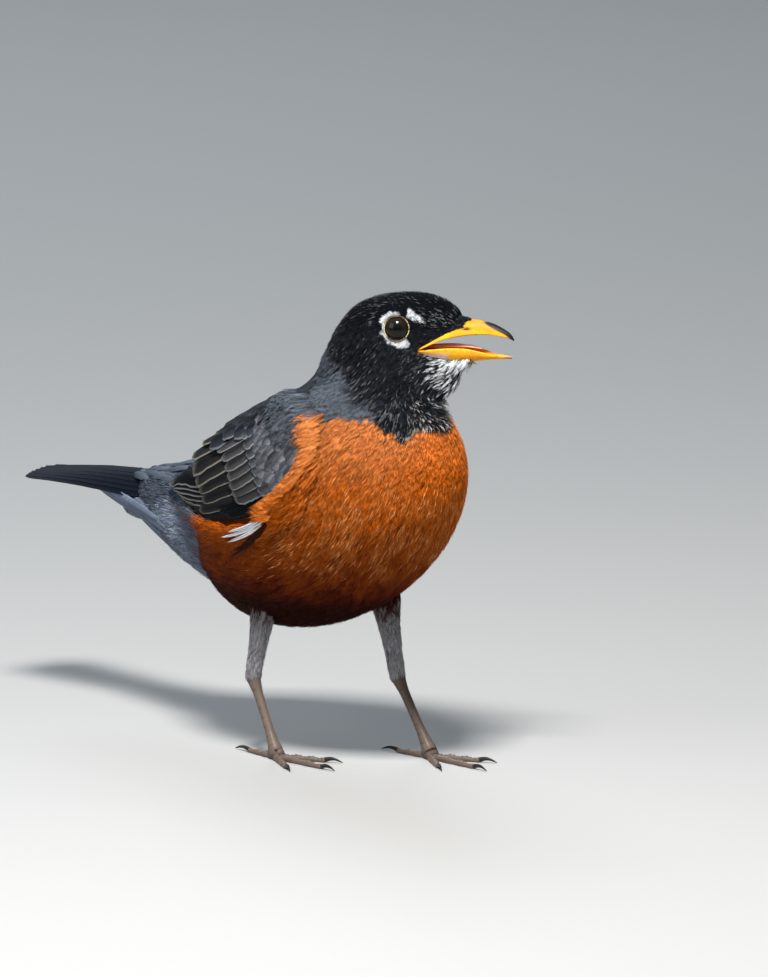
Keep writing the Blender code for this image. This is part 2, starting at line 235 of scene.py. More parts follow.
def smooth_rows(table, at):
    """The table's rows read at fractional row numbers, along a Catmull-Rom curve."""
    ends = np.vstack([2 * table[0] - table[1], table, 2 * table[-1] - table[-2]])
    row = np.clip(np.floor(at).astype(int), 0, len(table) - 2)
    t = (at - row)[..., None]
    a, b, c, d = (ends[row + k] for k in range(4))
    bend = (2 * a - 5 * b + 4 * c - d) * t**2 + (3 * b - a - 3 * c + d) * t**3
    return 0.5 * (2 * b + (c - a) * t + bend)


def spoke_ends(place, angle):
    """Where spokes from the spine, at angles from the top, first leave the blended volume, by bisection."""
    rows = smooth_rows(SPINE, place)
    axes = turned(rows[..., 3], rows[..., 4])
    angle = np.radians(angle)[..., None]
    spokes = np.cos(angle) * axes[..., 2] + np.sin(angle) * axes[..., 1]
    reach = np.arange(0.0, LONGEST_SPOKE, SPOKE_STEP)
    outside = np.stack([flesh(rows[..., :3] + spokes * r)[0] > 0 for r in reach], axis=-1)
    far = reach[np.argmax(outside, axis=-1)]
    near = far - SPOKE_STEP
    for _ in range(HALVINGS):
        middle = (near + far) / 2
        out = flesh(rows[..., :3] + spokes * middle[..., None])[0] > 0
        near, far = np.where(out, near, middle), np.where(out, middle, far)
    return rows[..., :3] + spokes * far[..., None]


grid_place, grid_angle = np.meshgrid(
    np.linspace(0, len(SPINE) - 1, PLACES), np.arange(-180, 180, 360 / ANGLES), indexing="ij"
)
grid_points = spoke_ends(grid_place, grid_angle)
grid_normals = flesh(grid_points)[1]
grid_ahead = unit(np.gradient(grid_points, axis=0))


def on_coat(place, angle, height=0.0):
    """Points at a height above the coat's surface, between the grid's nodes: points, normals, ways ahead."""
    row = np.clip(place / (len(SPINE) - 1) * (PLACES - 1), 0, PLACES - 1.001)
    column = np.mod(angle + 180, 360) / 360 * ANGLES
    i, j = row.astype(int), column.astype(int) % ANGLES
    u, v = (row - i)[..., None], (column - np.floor(column))[..., None]
    across = (j + 1) % ANGLES

    def between(grid):
        low = grid[i, j] * (1 - v) + grid[i, across] * v
        high = grid[i + 1, j] * (1 - v) + grid[i + 1, across] * v
        return low * (1 - u) + high * u

    normal = unit(between(grid_normals))
    ahead = between(grid_ahead)
    points = between(grid_points) + normal * np.asarray(height)[..., None]
    return points, normal, unit(ahead - normal * along(ahead, normal))


def stride_and_arc(place, angle):
    """How many millimetres of coat one step along the spine covers, and one degree round it."""
    here = on_coat(place, angle)[0]
    stride = np.linalg.norm(on_coat(place - 0.05, angle)[0] - here, axis=-1) / 0.05
    arc = np.linalg.norm(on_coat(place, angle + 1.0)[0] - here, axis=-1)
    return np.maximum(stride, 2.0), np.maximum(arc, 0.05)


# ------------------------------------------------------------------ markings: the colours of the plumage
# An adult male's feathers carry their colour themselves: a black hood with white round the eyes, a streaked
# throat, an orange breast, a slate back and a white vent. Light and shade are painted in as well: painted
# light high on the breast and on the sides of the neck, painted shade low on the belly and over the white
# vent, and a blue tint of painted sky light on the black. Skin and coat read the same rules.
# The black is tinted blue, as painted cool sky light on it.
BLACK, SLATE, GREY = (0.0045, 0.0055, 0.0085), (0.07, 0.085, 0.108), (0.17, 0.195, 0.23)
# The rust of the low belly is its own deeper colour, darkened further as painted shade.
ORANGE, SHADED_RUST, PEACH = (0.74, 0.16, 0.005), (0.10, 0.009, 0.001), (0.98, 0.40, 0.12)
SUNNED = (0.82, 0.30, 0.095)  # orange in the light, high on the breast
# The sides of the neck are a lighter slate, partly their own grey and partly painted light.
RUMP_SLATE, LIT_NECK_SLATE = (0.085, 0.105, 0.135), (0.16, 0.185, 0.22)
# The vent's white feathers are painted blue-grey, as painted shade.
WHITE, SHADED_VENT = (0.95, 0.97, 1.0), (0.15, 0.185, 0.25)
BIB_EDGE = (  # angle from the top, and the place on the spine where the orange begins
    (60, 70, 80, 89, 101, 112, 124, 130, 136, 142, 148, 160, 180),
    (4.9, 5.1, 5.38, 5.6, 5.85, 6.03, 6.25, 6.05, 6.35, 6.1, 6.5, 6.75, 6.85),
)
HOOD_EDGE = ((0, 40, 70, 100, 118), (6.3, 6.35, 6.1, 6.05, 6.15))  # the same for the black
VENT_EDGE = ((90, 117, 150, 180), (1.1, 1.3, 1.42, 1.5))  # and for the vent
FLANK_TOP = ((1.0, 3.0, 4.2, 4.65, 5.0, 5.4), (92, 86, 84, 80, 70, 64))  # place, angle where orange begins
RING_ABOVE = (  # angle round the eye from straight ahead, and how far out the white reaches
    (66, 75, 84, 109, 137, 151, 160, 166),
    (4.0, 5.5, 6.0, 6.4, 6.3, 5.9, 4.8, 4.0),
)
RING_BELOW = (
    (181, 187, 206, 226, 247, 264, 276, 284, 298, 314, 322, 329),
    (4, 4.5, 4.55, 4.6, 4.75, 5.0, 5.4, 6.2, 7.0, 7.3, 6.6, 4),
)
LORE_START, LORE_LENGTH = 0.6, 8.0  # of the white patch before the eye, ahead from the middle of the head
THROAT_SHARE = (  # height from the middle of the head, and the share of white feathers
    (-30, -26, -23, -20, -17.5, -15.5, -13),
    (0.04, 0.07, 0.20, 0.34, 0.46, 0.62, 0.85),
)
THROAT_BACK = ((-34, -24, -20, -16, -12), (9.0, 6.0, 5.0, 6.0, 6.5))  # height, how far ahead they begin


def blend(t):
    """A smooth step from 0 to 1."""
    t = np.clip(t, 0, 1)
    return t * t * (3 - 2 * t)


def ripple(points, size, seed):
    """Soft random hills about size across, from -1 to 1: a sum of waves in random directions."""
    draw = np.random.default_rng(seed)
    ways = unit(draw.normal(size=(9, 3))) * draw.uniform(0.7, 1.5, (9, 1))
    phase = draw.uniform(0, 2 * np.pi, 9)
    return np.sin(points @ ways.T * (2 * np.pi / size) + phase).sum(axis=-1) / 4


def eye_polar(spot):
    """Distance from the line through the eyes, and the angle from straight ahead, on the side of the head."""
    ahead, up = spot[..., 0] - EYE_PLACE[0], spot[..., 2] - EYE_PLACE[2]
    return np.hypot(ahead, up), np.degrees(np.arctan2(up, ahead))


def white_marks(spot):
    """1 in the broken eye ring and the patch before it, given points from the middle of the head."""
    r, turn = eye_polar(spot)
    turn = np.mod(turn, 360)
    above = np.interp(turn, *RING_ABOVE) * (turn < 177)
    below = np.interp(turn, *RING_BELOW) * (turn >= 177)
    frayed = 0.35 * ripple(spot, 1.3, 11)
    ring = blend((np.maximum(above, below) + frayed - r) / 0.4)
    t = (spot[..., 0] - LORE_START) / LORE_LENGTH
    line = 5.9 - 4.2 * t
    thick = 1.35 * np.sin(np.pi * np.clip(0.25 + 0.75 * t, 0, 1)) ** 0.6 + 0.8 * frayed
    lore = blend((thick - np.abs(spot[..., 2] - line)) / 0.4 + 0.5)
    lore = lore * (t > 0.25) * (t < 1) * (ripple(spot, 0.8, 12) > -0.3)
    side = blend((np.abs(spot[..., 1]) - 4.5) / 1.0)
    return np.clip(ring + lore, 0, 1) * side


def mix(a, b, t):
    """Colour a, or b where t is 1."""
    return np.asarray(a) + (np.asarray(b) - np.asarray(a)) * t[..., None]


def plumage(points, place, angle, draw):
    """Feather colours at roots; draw (0 to 1) is each feather's own share of streaks and shade."""
    turn = np.abs(np.mod(angle + 180, 360) - 180)
    ragged = place + 0.12 * ripple(points, 9.0, 3) + 0.07 * ripple(points, 3.0, 4)
    breast = blend((np.interp(turn, *BIB_EDGE) - ragged) / 0.05)
    breast = breast * blend((turn - np.interp(place, *FLANK_TOP)) / 5)
    vent = blend((np.interp(turn, *VENT_EDGE) - ragged) / 0.12) * (turn > 88)
    hood = blend((ragged - np.interp(turn, *HOOD_EDGE)) / 0.35)
    hood = np.where(turn > 118, 1.0, hood)
    clump = 0.5 + 0.5 * ripple(points, 14.0, 5)
    # Lower down the orange turns to rust, partly its own deeper colour and partly painted shade.
    deeper_and_shaded = np.clip((98 - points[..., 2]) / 44, 0, 1) * blend((104 - points[..., 2]) / 22)
    warm = mix(ORANGE, SHADED_RUST, np.clip(0.12 * clump + 0.26 * draw + 0.86 * deeper_and_shaded, 0, 1))
    sunned = 0.75 * blend((points[..., 2] - 92) / 28) * (1 - 0.6 * blend((turn - 135) / 30))
    warm = mix(warm, SUNNED, sunned)
    # Painted shade: the underside of the belly is darkened.
    warm = warm * (1 - 0.78 * blend((63.5 - points[..., 2]) / 12.5))[..., None]
    slate = mix(SLATE, GREY, 0.3 * draw + (0.35 + 0.25 * clump) * (place < 2))
    slate = mix(slate, RUMP_SLATE, blend((1.9 - place) / 0.9))
    slate = mix(slate, LIT_NECK_SLATE, 0.7 * (turn > 45) * blend((place - 4.6) / 0.8))
    spot = in_head(points)
    ahead, up = spot[..., 0], spot[..., 2]
    black = mix(BLACK, GREY, (0.01 + 0.13 * blend((3 - up) / 9)) * draw)
    colour = mix(slate, black, hood)
    share = np.interp(up, *THROAT_SHARE)
    share = share * blend((ahead - np.interp(up, *THROAT_BACK)) / 5.0) * blend((place - 6.3) / 0.4)
    share = share * (0.5 + 0.5 * blend((ahead - 10.5) / 4))
    white = (np.mod(draw * 7.31, 1) < share) * (turn > 125)
    colour = mix(colour, WHITE, 0.92 * white)
    colour = mix(colour, WHITE, white_marks(spot) * (place > 7))
    colour = mix(colour, warm, breast)
    return mix(colour, mix(SHADED_VENT, WHITE, 0.14 * draw), vent)


# ------------------------------------------------------------------ skin
# Thin skin over the muscles, all in one piece from the bill to the tail and down to the ankles. It lies
# inside the feather tips by the coat's depth, and it is cut open for the bill.
SKIN_ROWS, SKIN_COLUMNS = 221, 120
# The skin is darker than the feathers over it: partly their darker bases, partly painted shade deep in the
# coat.
SKIN_SHADE = 0.55  # of the colour of the feathers over it


def coat_depth(place):
    """How deep the coat is at each place on the spine, thin on the face and deepest on the breast."""
    return np.interp(place, (0, 1, 3, 5, 6, 7.5, 9, 11), (1.6, 2.0, 2.4, 2.2, 1.7, 1.3, 0.9, 0.6))


def shape(name, points, faces, finish, slot, colour=None, maps=(), replaced=()):
    """A finished piece from points in millimetres and arrays of three- and four-cornered faces.

    colour is one for the whole piece or one for each point, maps holds its maps by name, and replaced names
    the CAD nodes that it stands for.
    """
    mesh = bpy.data.meshes.new(name)
    corners = np.concatenate([f.ravel() for f in faces]).astype(np.int32)
    sizes = np.concatenate([np.full(len(f), f.shape[1]) for f in faces])
    mesh.vertices.add(len(points))
    mesh.vertices.foreach_set("co", ((points + TO_FRAME) * MM).astype(np.float32).ravel())
    mesh.loops.add(len(corners))
    mesh.loops.foreach_set("vertex_index", corners)
    mesh.polygons.add(len(sizes))
    mesh.polygons.foreach_set("loop_start", (np.cumsum(sizes) - sizes).astype(np.int32))
    mesh.update(calc_edges=True)
    for map_name, uv in dict(maps).items():
        layer = mesh.uv_layers.new(name=map_name)
        layer.data.foreach_set("uv", uv[corners].astype(np.float32).ravel())
    if colour is not None:
        attribute = mesh.attributes.new("plumage", "FLOAT_COLOR", "POINT")
        rgba = np.ones((len(points), 4), np.float32)
        rgba[:, :3] = colour
        attribute.data.foreach_set("color", rgba.ravel())
    mesh.shade_smooth()
    mesh.materials.append(finish)
    piece = bpy.data.objects.new(name, mesh)
    bpy.context.scene.collection.objects.link(piece)
    if slot:
        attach(piece, "root")
    if replaced:
        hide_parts(*replaced)
    return piece


def tube_faces(rings, ring_size, ends=True):
    """Faces between rings of points, and a fan over each end from one point more (the last two points)."""
    i, j = np.meshgrid(np.arange(rings - 1), np.arange(ring_size), indexing="ij")
    k = (j + 1) % ring_size
    corner = lambda a, b: (a * ring_size + b).ravel()
    faces = [np.stack([corner(i, j), corner(i, k), corner(i + 1, k), corner(i + 1, j)], axis=-1)]
    if ends:
        j = np.arange(ring_size)
        k, hub, last = (j + 1) % ring_size, rings * ring_size, (rings - 1) * ring_size
        faces.append(np.stack([k, j, hub + 0 * j], axis=-1))
        faces.append(np.stack([last + j, last + k, hub + 1 + 0 * j], axis=-1))
    return faces


def closed_tube(rings):
    """Points of a tube of rings (rows, ring, 3), the middle of each end ring last, and its faces."""
    hubs = [rings[0].mean(axis=0), rings[-1].mean(axis=0)]
    return np.vstack([rings.reshape(-1, 3), hubs]), tube_faces(*rings.shape[:2])


def with_ends(colour, first, last):
    """Colours of a closed tube's rings, and then of its two end points."""
    return np.vstack([colour.reshape(-1, 3), first, last])


def add_node(tree, kind, inputs=(), **settings):
    """A new shader node with its settings and inputs."""
    node = tree.nodes.new("ShaderNode" + kind)
    for setting, value in settings.items():
        setattr(node, setting, value)
    feed(node, dict(inputs))
    return node


def bumps(tree, height, strength):
    """The normals of fine relief a fifth of a millimetre high."""
    bump = add_node(tree, "Bump", {"Height": height, "Strength": strength, "Distance": 0.0002})
    return bump.outputs["Normal"]


def mottle_group():
    """A shader group: a colour made lighter and darker by fine noise, and that noise as relief."""
    group = bpy.data.node_groups.new("mottle", "ShaderNodeTree")
    for label, way, kind in (
        ("Colour", "INPUT", "Color"), ("Fineness", "INPUT", "Float"), ("Contrast", "INPUT", "Float"),
        ("Colour", "OUTPUT", "Color"), ("Relief", "OUTPUT", "Float"),
    ):
        group.interface.new_socket(label, in_out=way, socket_type="NodeSocket" + kind)
    given, result = group.nodes.new("NodeGroupInput").outputs, group.nodes.new("NodeGroupOutput")
    place = add_node(group, "TexCoord").outputs["Object"]
    noise = add_node(group, "TexNoise", {"Vector": place, "Scale": given["Fineness"]}).outputs["Fac"]
    about_zero = add_node(group, "Math", {0: noise, 1: 0.5}, operation="SUBTRACT").outputs[0]
    factors = {0: about_zero, 1: given["Contrast"], 2: 1.0}
    about_one = add_node(group, "Math", factors, operation="MULTIPLY_ADD").outputs[0]
    shade = add_node(group, "VectorMath", {0: given["Colour"], "Scale": about_one}, operation="SCALE")
    feed(result, {"Colour": shade.outputs[0], "Relief": noise})
    return group


MOTTLE = mottle_group()


def mottled_finish(name, roughness, specular, fineness, contrast, relief=0.0):
    """A material in the mesh's own colours, mottled; relief is the strength of the same mottling as bumps."""
    finish, tree = new_finish(name, {"Roughness": roughness, "Specular IOR Level": specular})
    own = add_node(tree, "Attribute", attribute_name="plumage").outputs["Color"]
    given = {"Colour": own, "Fineness": fineness, "Contrast": contrast}
    mottle = add_node(tree, "Group", given, node_tree=MOTTLE).outputs
    feed(tree.nodes["Principled BSDF"], {"Base Color": mottle["Colour"]})
    if relief:
        feed(tree.nodes["Principled BSDF"], {"Normal": bumps(tree, mottle["Relief"], relief)})
    return finish


FEATHER_ROUGHNESS, FEATHER_GRAIN = 0.66, (1400, 0.45)  # the grain's fineness and contrast
FEATHER = mottled_finish("soft_feathers", FEATHER_ROUGHNESS, 0.05, *FEATHER_GRAIN)

skin_place, skin_angle = np.meshgrid(
    np.linspace(0, len(SPINE) - 1, SKIN_ROWS),
    np.linspace(-180, 180, SKIN_COLUMNS, endpoint=False),
    indexing="ij",
)
skin_points = on_coat(skin_place, skin_angle, -coat_depth(skin_place))[0]
half_shade = np.full(skin_place.shape, 0.4)
skin_colour = SKIN_SHADE * plumage(skin_points, skin_place, skin_angle, half_shade)
points, faces = closed_tube(skin_points)
skin_colour = with_ends(skin_colour, skin_colour[0, 0], skin_colour[-1, SKIN_COLUMNS // 2])
skin = shape(
    "skin", points, faces, FEATHER, "orange_feathers", skin_colour,
    replaced=("trunk", "neck", "head", "thigh_left", "thigh_right"),
)
LEGS = {  # knee, ankle and the ball of the foot: ahead, sideways, up
    "left": ((3, 13.5, 60), (5.0, 18.8, 26), (20.0, 20, 3.2)),
    "right": ((-23, -14, 60), (-25.8, -18.6, 26), (-12.5, -20, 3.2)),
}
SHANK_COLOUR = (0.36, 0.35, 0.37)
ANKLE_RADIUS, KNEE_SWELL = 2.9, 4.5
SHANK_ROWS, SHANK_SEGMENTS, SHANK_COAT = 40, 32, 0.6


def pipe(path, radii, across, segments, floor=None):
    """Rings round a path, starting at its side; nothing goes below the floor."""
    heading = np.gradient(path, axis=0)
    up = unit(np.cross(heading, across))
    side = unit(np.cross(up, heading))
    turn = np.linspace(0, 2 * np.pi, segments, endpoint=False)[:, None]
    spokes = np.cos(turn) * side[:, None] + np.sin(turn) * up[:, None]
    rings = path[:, None] + spokes * np.broadcast_to(radii, (len(path), segments))[..., None]
    if floor is not None:
        rings[..., 2] = np.maximum(rings[..., 2], floor)
    return rings


def shank(side, t, inset=0.0):
    """Middle and radius of a feathered lower leg at parts t of the way from the knee to the ankle."""
    knee, ankle, _ = np.array(LEGS[side], float)
    return knee + t[..., None] * (ankle - knee), ANKLE_RADIUS + KNEE_SWELL * (1 - t) ** 2.2 - inset


def join(piece, other, operation):
    """Joins another closed mesh on to a piece, or cuts it away, for good."""
    change = piece.modifiers.new(other.name, "BOOLEAN")
    change.object, change.operation, change.solver = other, operation, "EXACT"
    changed = piece.evaluated_get(bpy.context.evaluated_depsgraph_get())
    piece.data = bpy.data.meshes.new_from_object(changed)
    piece.modifiers.clear()
    bpy.data.objects.remove(other)


for side in LEGS:
    path, radii = shank(side, np.linspace(0, 1, SHANK_ROWS), SHANK_COAT)
    points, faces = closed_tube(pipe(path, radii[:, None], (0, 1, 0), SHANK_SEGMENTS))
    colour = mix(SHADED_RUST, 0.5 * np.array(SHANK_COLOUR), blend((56 - points[:, 2]) / 8))
    join(skin, shape(f"shank_{side}", points, faces, FEATHER, None, colour), "UNION")

# ------------------------------------------------------------------ bill
# Two horny sheaths over bone, orange-yellow with a dusky tip. The upper one arches over the lower one, its
# cutting edges run back to the gape, and the mouth between them is lined with soft orange skin.
UPPER_BILL = np.array(  # from the middle of the head: ahead, half width, upper edge, lower edge
    [
        (6.5, 7.2, -6.2, -7.7),
        (10, 6.5, -3.6, -6.1),
        (14, 5.5, -0.4, -4.3),
        (18, 4.4, 1.9, -3.3),
        (22, 3.7, 2.5, -2.5),
        (26, 3.0, 2.3, -2.1),
        (29.5, 2.5, 1.7, -2.0),
        (32.5, 1.9, 0.6, -2.3),
        (35.2, 1.25, -0.8, -2.8),
        (36.8, 0.75, -2.1, -3.4),
        (37.6, 0.3, -3.4, -4.0),
    ],
    float,
)
LOWER_BILL = np.array(
    [
        (6.5, 7.2, -8.0, -9.6),
        (10, 6.4, -7.6, -11.1),
        (14, 5.1, -7.2, -12.0),
        (18, 4.1, -7.0, -12.2),
        (22, 3.4, -7.1, -11.9),
        (26, 2.8, -7.8, -11.2),
        (30, 2.1, -8.7, -10.6),
        (34, 1.3, -9.2, -10.2),
        (37.0, 0.35, -9.5, -9.9),
    ],
    float,
)


def in_bill(spot, margin):
    """Whether points are in the bill or its open mouth, by the arches over and under its cutting edges."""
    upper = [np.interp(spot[..., 0], UPPER_BILL[:, 0], UPPER_BILL[:, k]) for k in (1, 2, 3)]
    lower = [np.interp(spot[..., 0], LOWER_BILL[:, 0], LOWER_BILL[:, k]) for k in (1, 2, 3)]
    arch = np.sqrt(np.clip(1 - (spot[..., 1] / (upper[0] + margin)) ** 2, 0, 1))
    roof = upper[2] + (upper[1] - upper[2] + margin) * arch
    cup = lower[1] - (lower[1] - lower[2] + margin) * arch
    beyond = spot[..., 0] > UPPER_BILL[0, 0] - margin
    return beyond & (arch > 0) & (spot[..., 2] < roof) & (spot[..., 2] > cup)


def bill_rings(table, arched, rows, segments, swell=0.0):
    """Half a bill from gape to tip, as rings: an arch up (1) or down (-1), hollowed from its other side."""
    ahead, half_width, high, low = smooth_rows(table, np.linspace(0, len(table) - 1, rows)).T[:, :, None]
    turn = np.linspace(0, 2 * np.pi, segments, endpoint=False) * arched
    edge, height = (low, high - low) if arched > 0 else (high, low - high)
    bow = np.sin(turn) * arched
    rise = np.where(bow > 0, np.abs(bow) ** 0.92, 0.45 * bow**2)
    across = (half_width + swell) * np.cos(turn) * np.where(bow < 0, 0.9, 1.0)
    return np.stack([ahead + 0 * turn, across, edge + rise * (height + arched * swell)], axis=-1)


def flipped(faces, inside_out=True):
    """The faces turned over where they are inside out."""
    return [f[:, ::-1] for f in faces] if inside_out else faces


MOUTH_SKIN, HORN_YELLOW, HORN_DUSK = (0.70, 0.27, 0.03), (0.82, 0.42, 0.008), (0.008, 0.007, 0.007)
MOUTH_ROWS, MOUTH_SEGMENTS, MOUTH_SWELL = 24, 40, 0.3
outer_half = slice(0, MOUTH_SEGMENTS // 2 + 1)  # of each ring
above = bill_rings(UPPER_BILL, 1, MOUTH_ROWS, MOUTH_SEGMENTS, MOUTH_SWELL)[:, outer_half]
below = bill_rings(LOWER_BILL, -1, MOUTH_ROWS, MOUTH_SEGMENTS, MOUTH_SWELL)[:, outer_half]
mouth = np.concatenate([above, below[:, ::-1]], axis=1)
mouth[0, :, 0] -= 0.4
points, faces = closed_tube(in_body(mouth))
cutter = shape("mouth_cutter", points, faces, FEATHER, None, MOUTH_SKIN)
join(skin, cutter, "DIFFERENCE")

# Joining leaves the points along each seam without a colour: black feathers round the upper bill, white ones
# below, mouth skin behind the gape, and the belly's rust, darkened as painted shade, round the legs.
points = np.empty(len(skin.data.vertices) * 3, np.float32)
colour = np.empty(len(skin.data.vertices) * 4, np.float32)
skin.data.vertices.foreach_get("co", points)
skin.data.attributes["plumage"].data.foreach_get("color", colour)
points, colour = points.reshape(-1, 3) / MM - TO_FRAME, colour.reshape(-1, 4)
spot = in_head(points)
seam = np.where((spot[:, 2] < -9)[:, None], 0.5 * np.array(WHITE), BLACK)
seam = np.where((spot[:, 0] < 7.5)[:, None], MOUTH_SKIN, seam)
seam = np.where((points[:, 2] < 100)[:, None], 0.35 * np.array(SHADED_RUST), seam)
thigh = (np.abs(points[:, 2] - 56) < 6) & (np.abs(points[:, 0] + 8) < 32) & (colour[:, 2] > 0.04)
lost = (colour[:, 0] > 0.99) | in_bill(spot, 0.45) | thigh
colour[lost, :3] = seam[lost]
skin.data.attributes["plumage"].data.foreach_set("color", colour.ravel())


def horn_finish(name, roughness, fineness):
    """Horn or wet skin: the mesh's colours with a faint grain, lit a little from within."""
    finish = mottled_finish(name, roughness, 0.18, fineness, 0.32, relief=0.25)
    surface = finish.node_tree.nodes["Principled BSDF"]
    feed(surface, {"Subsurface Weight": 0.08, "Subsurface Scale": 0.001})
    return finish


HORN = horn_finish("bill_horn", 0.5, 900)
HORN_ORANGE, GAPE_PALE = (0.84, 0.31, 0.015), (0.80, 0.58, 0.50)
NOSTRIL_AHEAD, NOSTRIL_UP, NOSTRIL_HALF = 21.9, -0.5, 1.4
DUSKY_RIDGE = ((26.5, 30, 36), (0.9, 0.55, 0.2))  # ahead, and the sine of the angle above which it is dusky
FEATHER_LINE = (  # the sine of the angle round the upper bill, and how far ahead its feathers reach
    (0.28, 0.40, 0.52, 0.85, 1.0),
    (7.5, 16.5, 20.6, 21.6, 22.8),
)
BILL_ROWS, BILL_SEGMENTS = 90, 64


def bill_colour(spot, arched, turn):
    """Yellow horn, dusky along the ridge near the tip, dark flecks on the edge, and mouth skin within."""
    ahead, up = spot[..., 0], spot[..., 2]
    outer = np.sin(turn) * arched > -0.02
    yellow = mix(HORN_YELLOW, HORN_ORANGE, 0.5 + 0.5 * ripple(spot, 5.0, 31))
    if arched > 0:
        # Painted shade: the top of the upper bill is darker, against the strong light from above.
        yellow = yellow * (1 - 0.5 * np.clip(np.sin(turn), 0, 1))[..., None]
        ridge = blend((np.sin(turn) - np.interp(ahead, *DUSKY_RIDGE)) / 0.2)
        dusk = np.clip(blend((ahead - 26.0) / 2.5) * ridge + blend((ahead - 34.5) / 2.5), 0, 1)
        slit = up - NOSTRIL_UP - 0.12 * (ahead - 21)
        nostril = np.exp(-(((ahead - NOSTRIL_AHEAD) / NOSTRIL_HALF) ** 2) - (slit / 0.5) ** 2)
        feathered = blend((np.interp(np.sin(turn), *FEATHER_LINE) - 0.5 - ahead) / 0.5)
        dusk = np.clip(dusk + 1.2 * nostril + feathered, 0, 1)
    else:
        dusk = blend((ahead - 33.5) / 3.5)
        yellow = mix(yellow, GAPE_PALE, blend((17.0 - ahead) / 3) * blend((-8.4 - up) / 1.2))
    flecks = blend((ripple(spot, 1.6, 32) - 0.9) / 0.3) * (np.abs(np.sin(turn)) < 0.25)
    outside = mix(yellow, HORN_DUSK, np.clip(dusk + 0.8 * flecks, 0, 1))
    return np.where(outer[..., None], outside, np.array(MOUTH_SKIN))


for name, table, arched, node in (
    ("bill_top", UPPER_BILL, 1, "bill_upper"),
    ("bill_bottom", LOWER_BILL, -1, "bill_lower"),
):
    rings = bill_rings(table, arched, BILL_ROWS, BILL_SEGMENTS)
    turn = np.linspace(0, 2 * np.pi, BILL_SEGMENTS, endpoint=False) * arched + 0 * rings[..., 0]
    if arched > 0:  # the nostrils are dents in the sides
        from_slit = (rings[..., 0] - NOSTRIL_AHEAD) / NOSTRIL_HALF
        dent = np.exp(-(from_slit**2) - ((rings[..., 2] - NOSTRIL_UP) / 0.55) ** 2) * (np.sin(turn) > 0)
        rings[..., 1] *= 1 - 0.13 * dent
    colour = bill_colour(rings, arched, turn)
    points, faces = closed_tube(in_body(rings))
    colour = with_ends(colour, colour[0, BILL_SEGMENTS // 4], colour[-1, BILL_SEGMENTS // 4])
    shape(name, points, flipped(faces, arched < 0), HORN, "bill_horn", colour, replaced=(node,))

# The tongue is a narrow pointed blade of horn-skinned flesh lying in the lower bill.
TONGUE_COLOUR = (0.78, 0.40, 0.28)
TONGUE = np.array(  # ahead, half width, up
    [(8, 2.2, -7.5), (12, 2.3, -7.0), (17, 2.1, -6.6), (22, 1.5, -6.6), (25, 0.7, -7.0), (26.5, 0.15, -7.3)]
)
ahead, half_width, up = smooth_rows(TONGUE, np.linspace(0, len(TONGUE) - 1, 30)).T[:, :, None]
turn = np.linspace(0, 2 * np.pi, 20, endpoint=False)
groove = 0.35 * np.exp(-((np.cos(turn) / 0.25) ** 2)) * (np.sin(turn) > 0)
height = up + 0.32 * half_width * (np.sin(turn) - groove)
rings = np.stack([ahead + 0 * turn, half_width * np.cos(turn), height], axis=-1)
points, faces = closed_tube(in_body(rings))
shape("tongue", points, faces, horn_finish("wet_tongue", 0.25, 700), "bill_horn", TONGUE_COLOUR)

# ------------------------------------------------------------------ eyes and lids
# A dark brown eye behind a clear wet cornea, almost flush with the cheek. A thin beaded rim of ochre skin,
# the edge of both lids, lies round it on the ball.
EYE_RADIUS = 4.7
PUPIL, IRIS = 24.0, 56.0  # how far each reaches from the middle of the eye, in degrees of the ball
EYE_BANDS = (  # degrees from the middle of the eye, and the colour there
    (PUPIL - 1.5, (0.0006, 0.0006, 0.0006)),
    (PUPIL + 1.5, (0.004, 0.0025, 0.0015)),
    (IRIS - 15, (0.011, 0.006, 0.003)),
    (IRIS - 3, (0.006, 0.0035, 0.002)),
    (IRIS + 4, (0.002, 0.0015, 0.0015)),
)
LEFT_AND_RIGHT = (("left", 1), ("right", -1))


def eye_finish():
    """Pupil, iris and rim by the angle from the eye's middle, which the map holds, under a clear coat."""
    dull = {"Roughness": 0.6, "Specular IOR Level": 0.05}
    cornea = {"Coat Weight": 1.0, "Coat IOR": 1.32, "Coat Roughness": 0.02}
    finish, tree = new_finish("wet_eye", dull | cornea)
    own_map = add_node(tree, "UVMap", uv_map="iris").outputs["UV"]
    polar = add_node(tree, "SeparateXYZ", {"Vector": own_map}).outputs["Y"]
    bands = add_node(tree, "ValToRGB", {"Fac": polar})
    bands.color_ramp.interpolation = "EASE"
    for stop, colour in EYE_BANDS:
        bands.color_ramp.elements.new(stop / 180).color = (*colour, 1)
    feed(tree.nodes["Principled BSDF"], {"Base Color": bands.outputs["Color"]})
    return finish


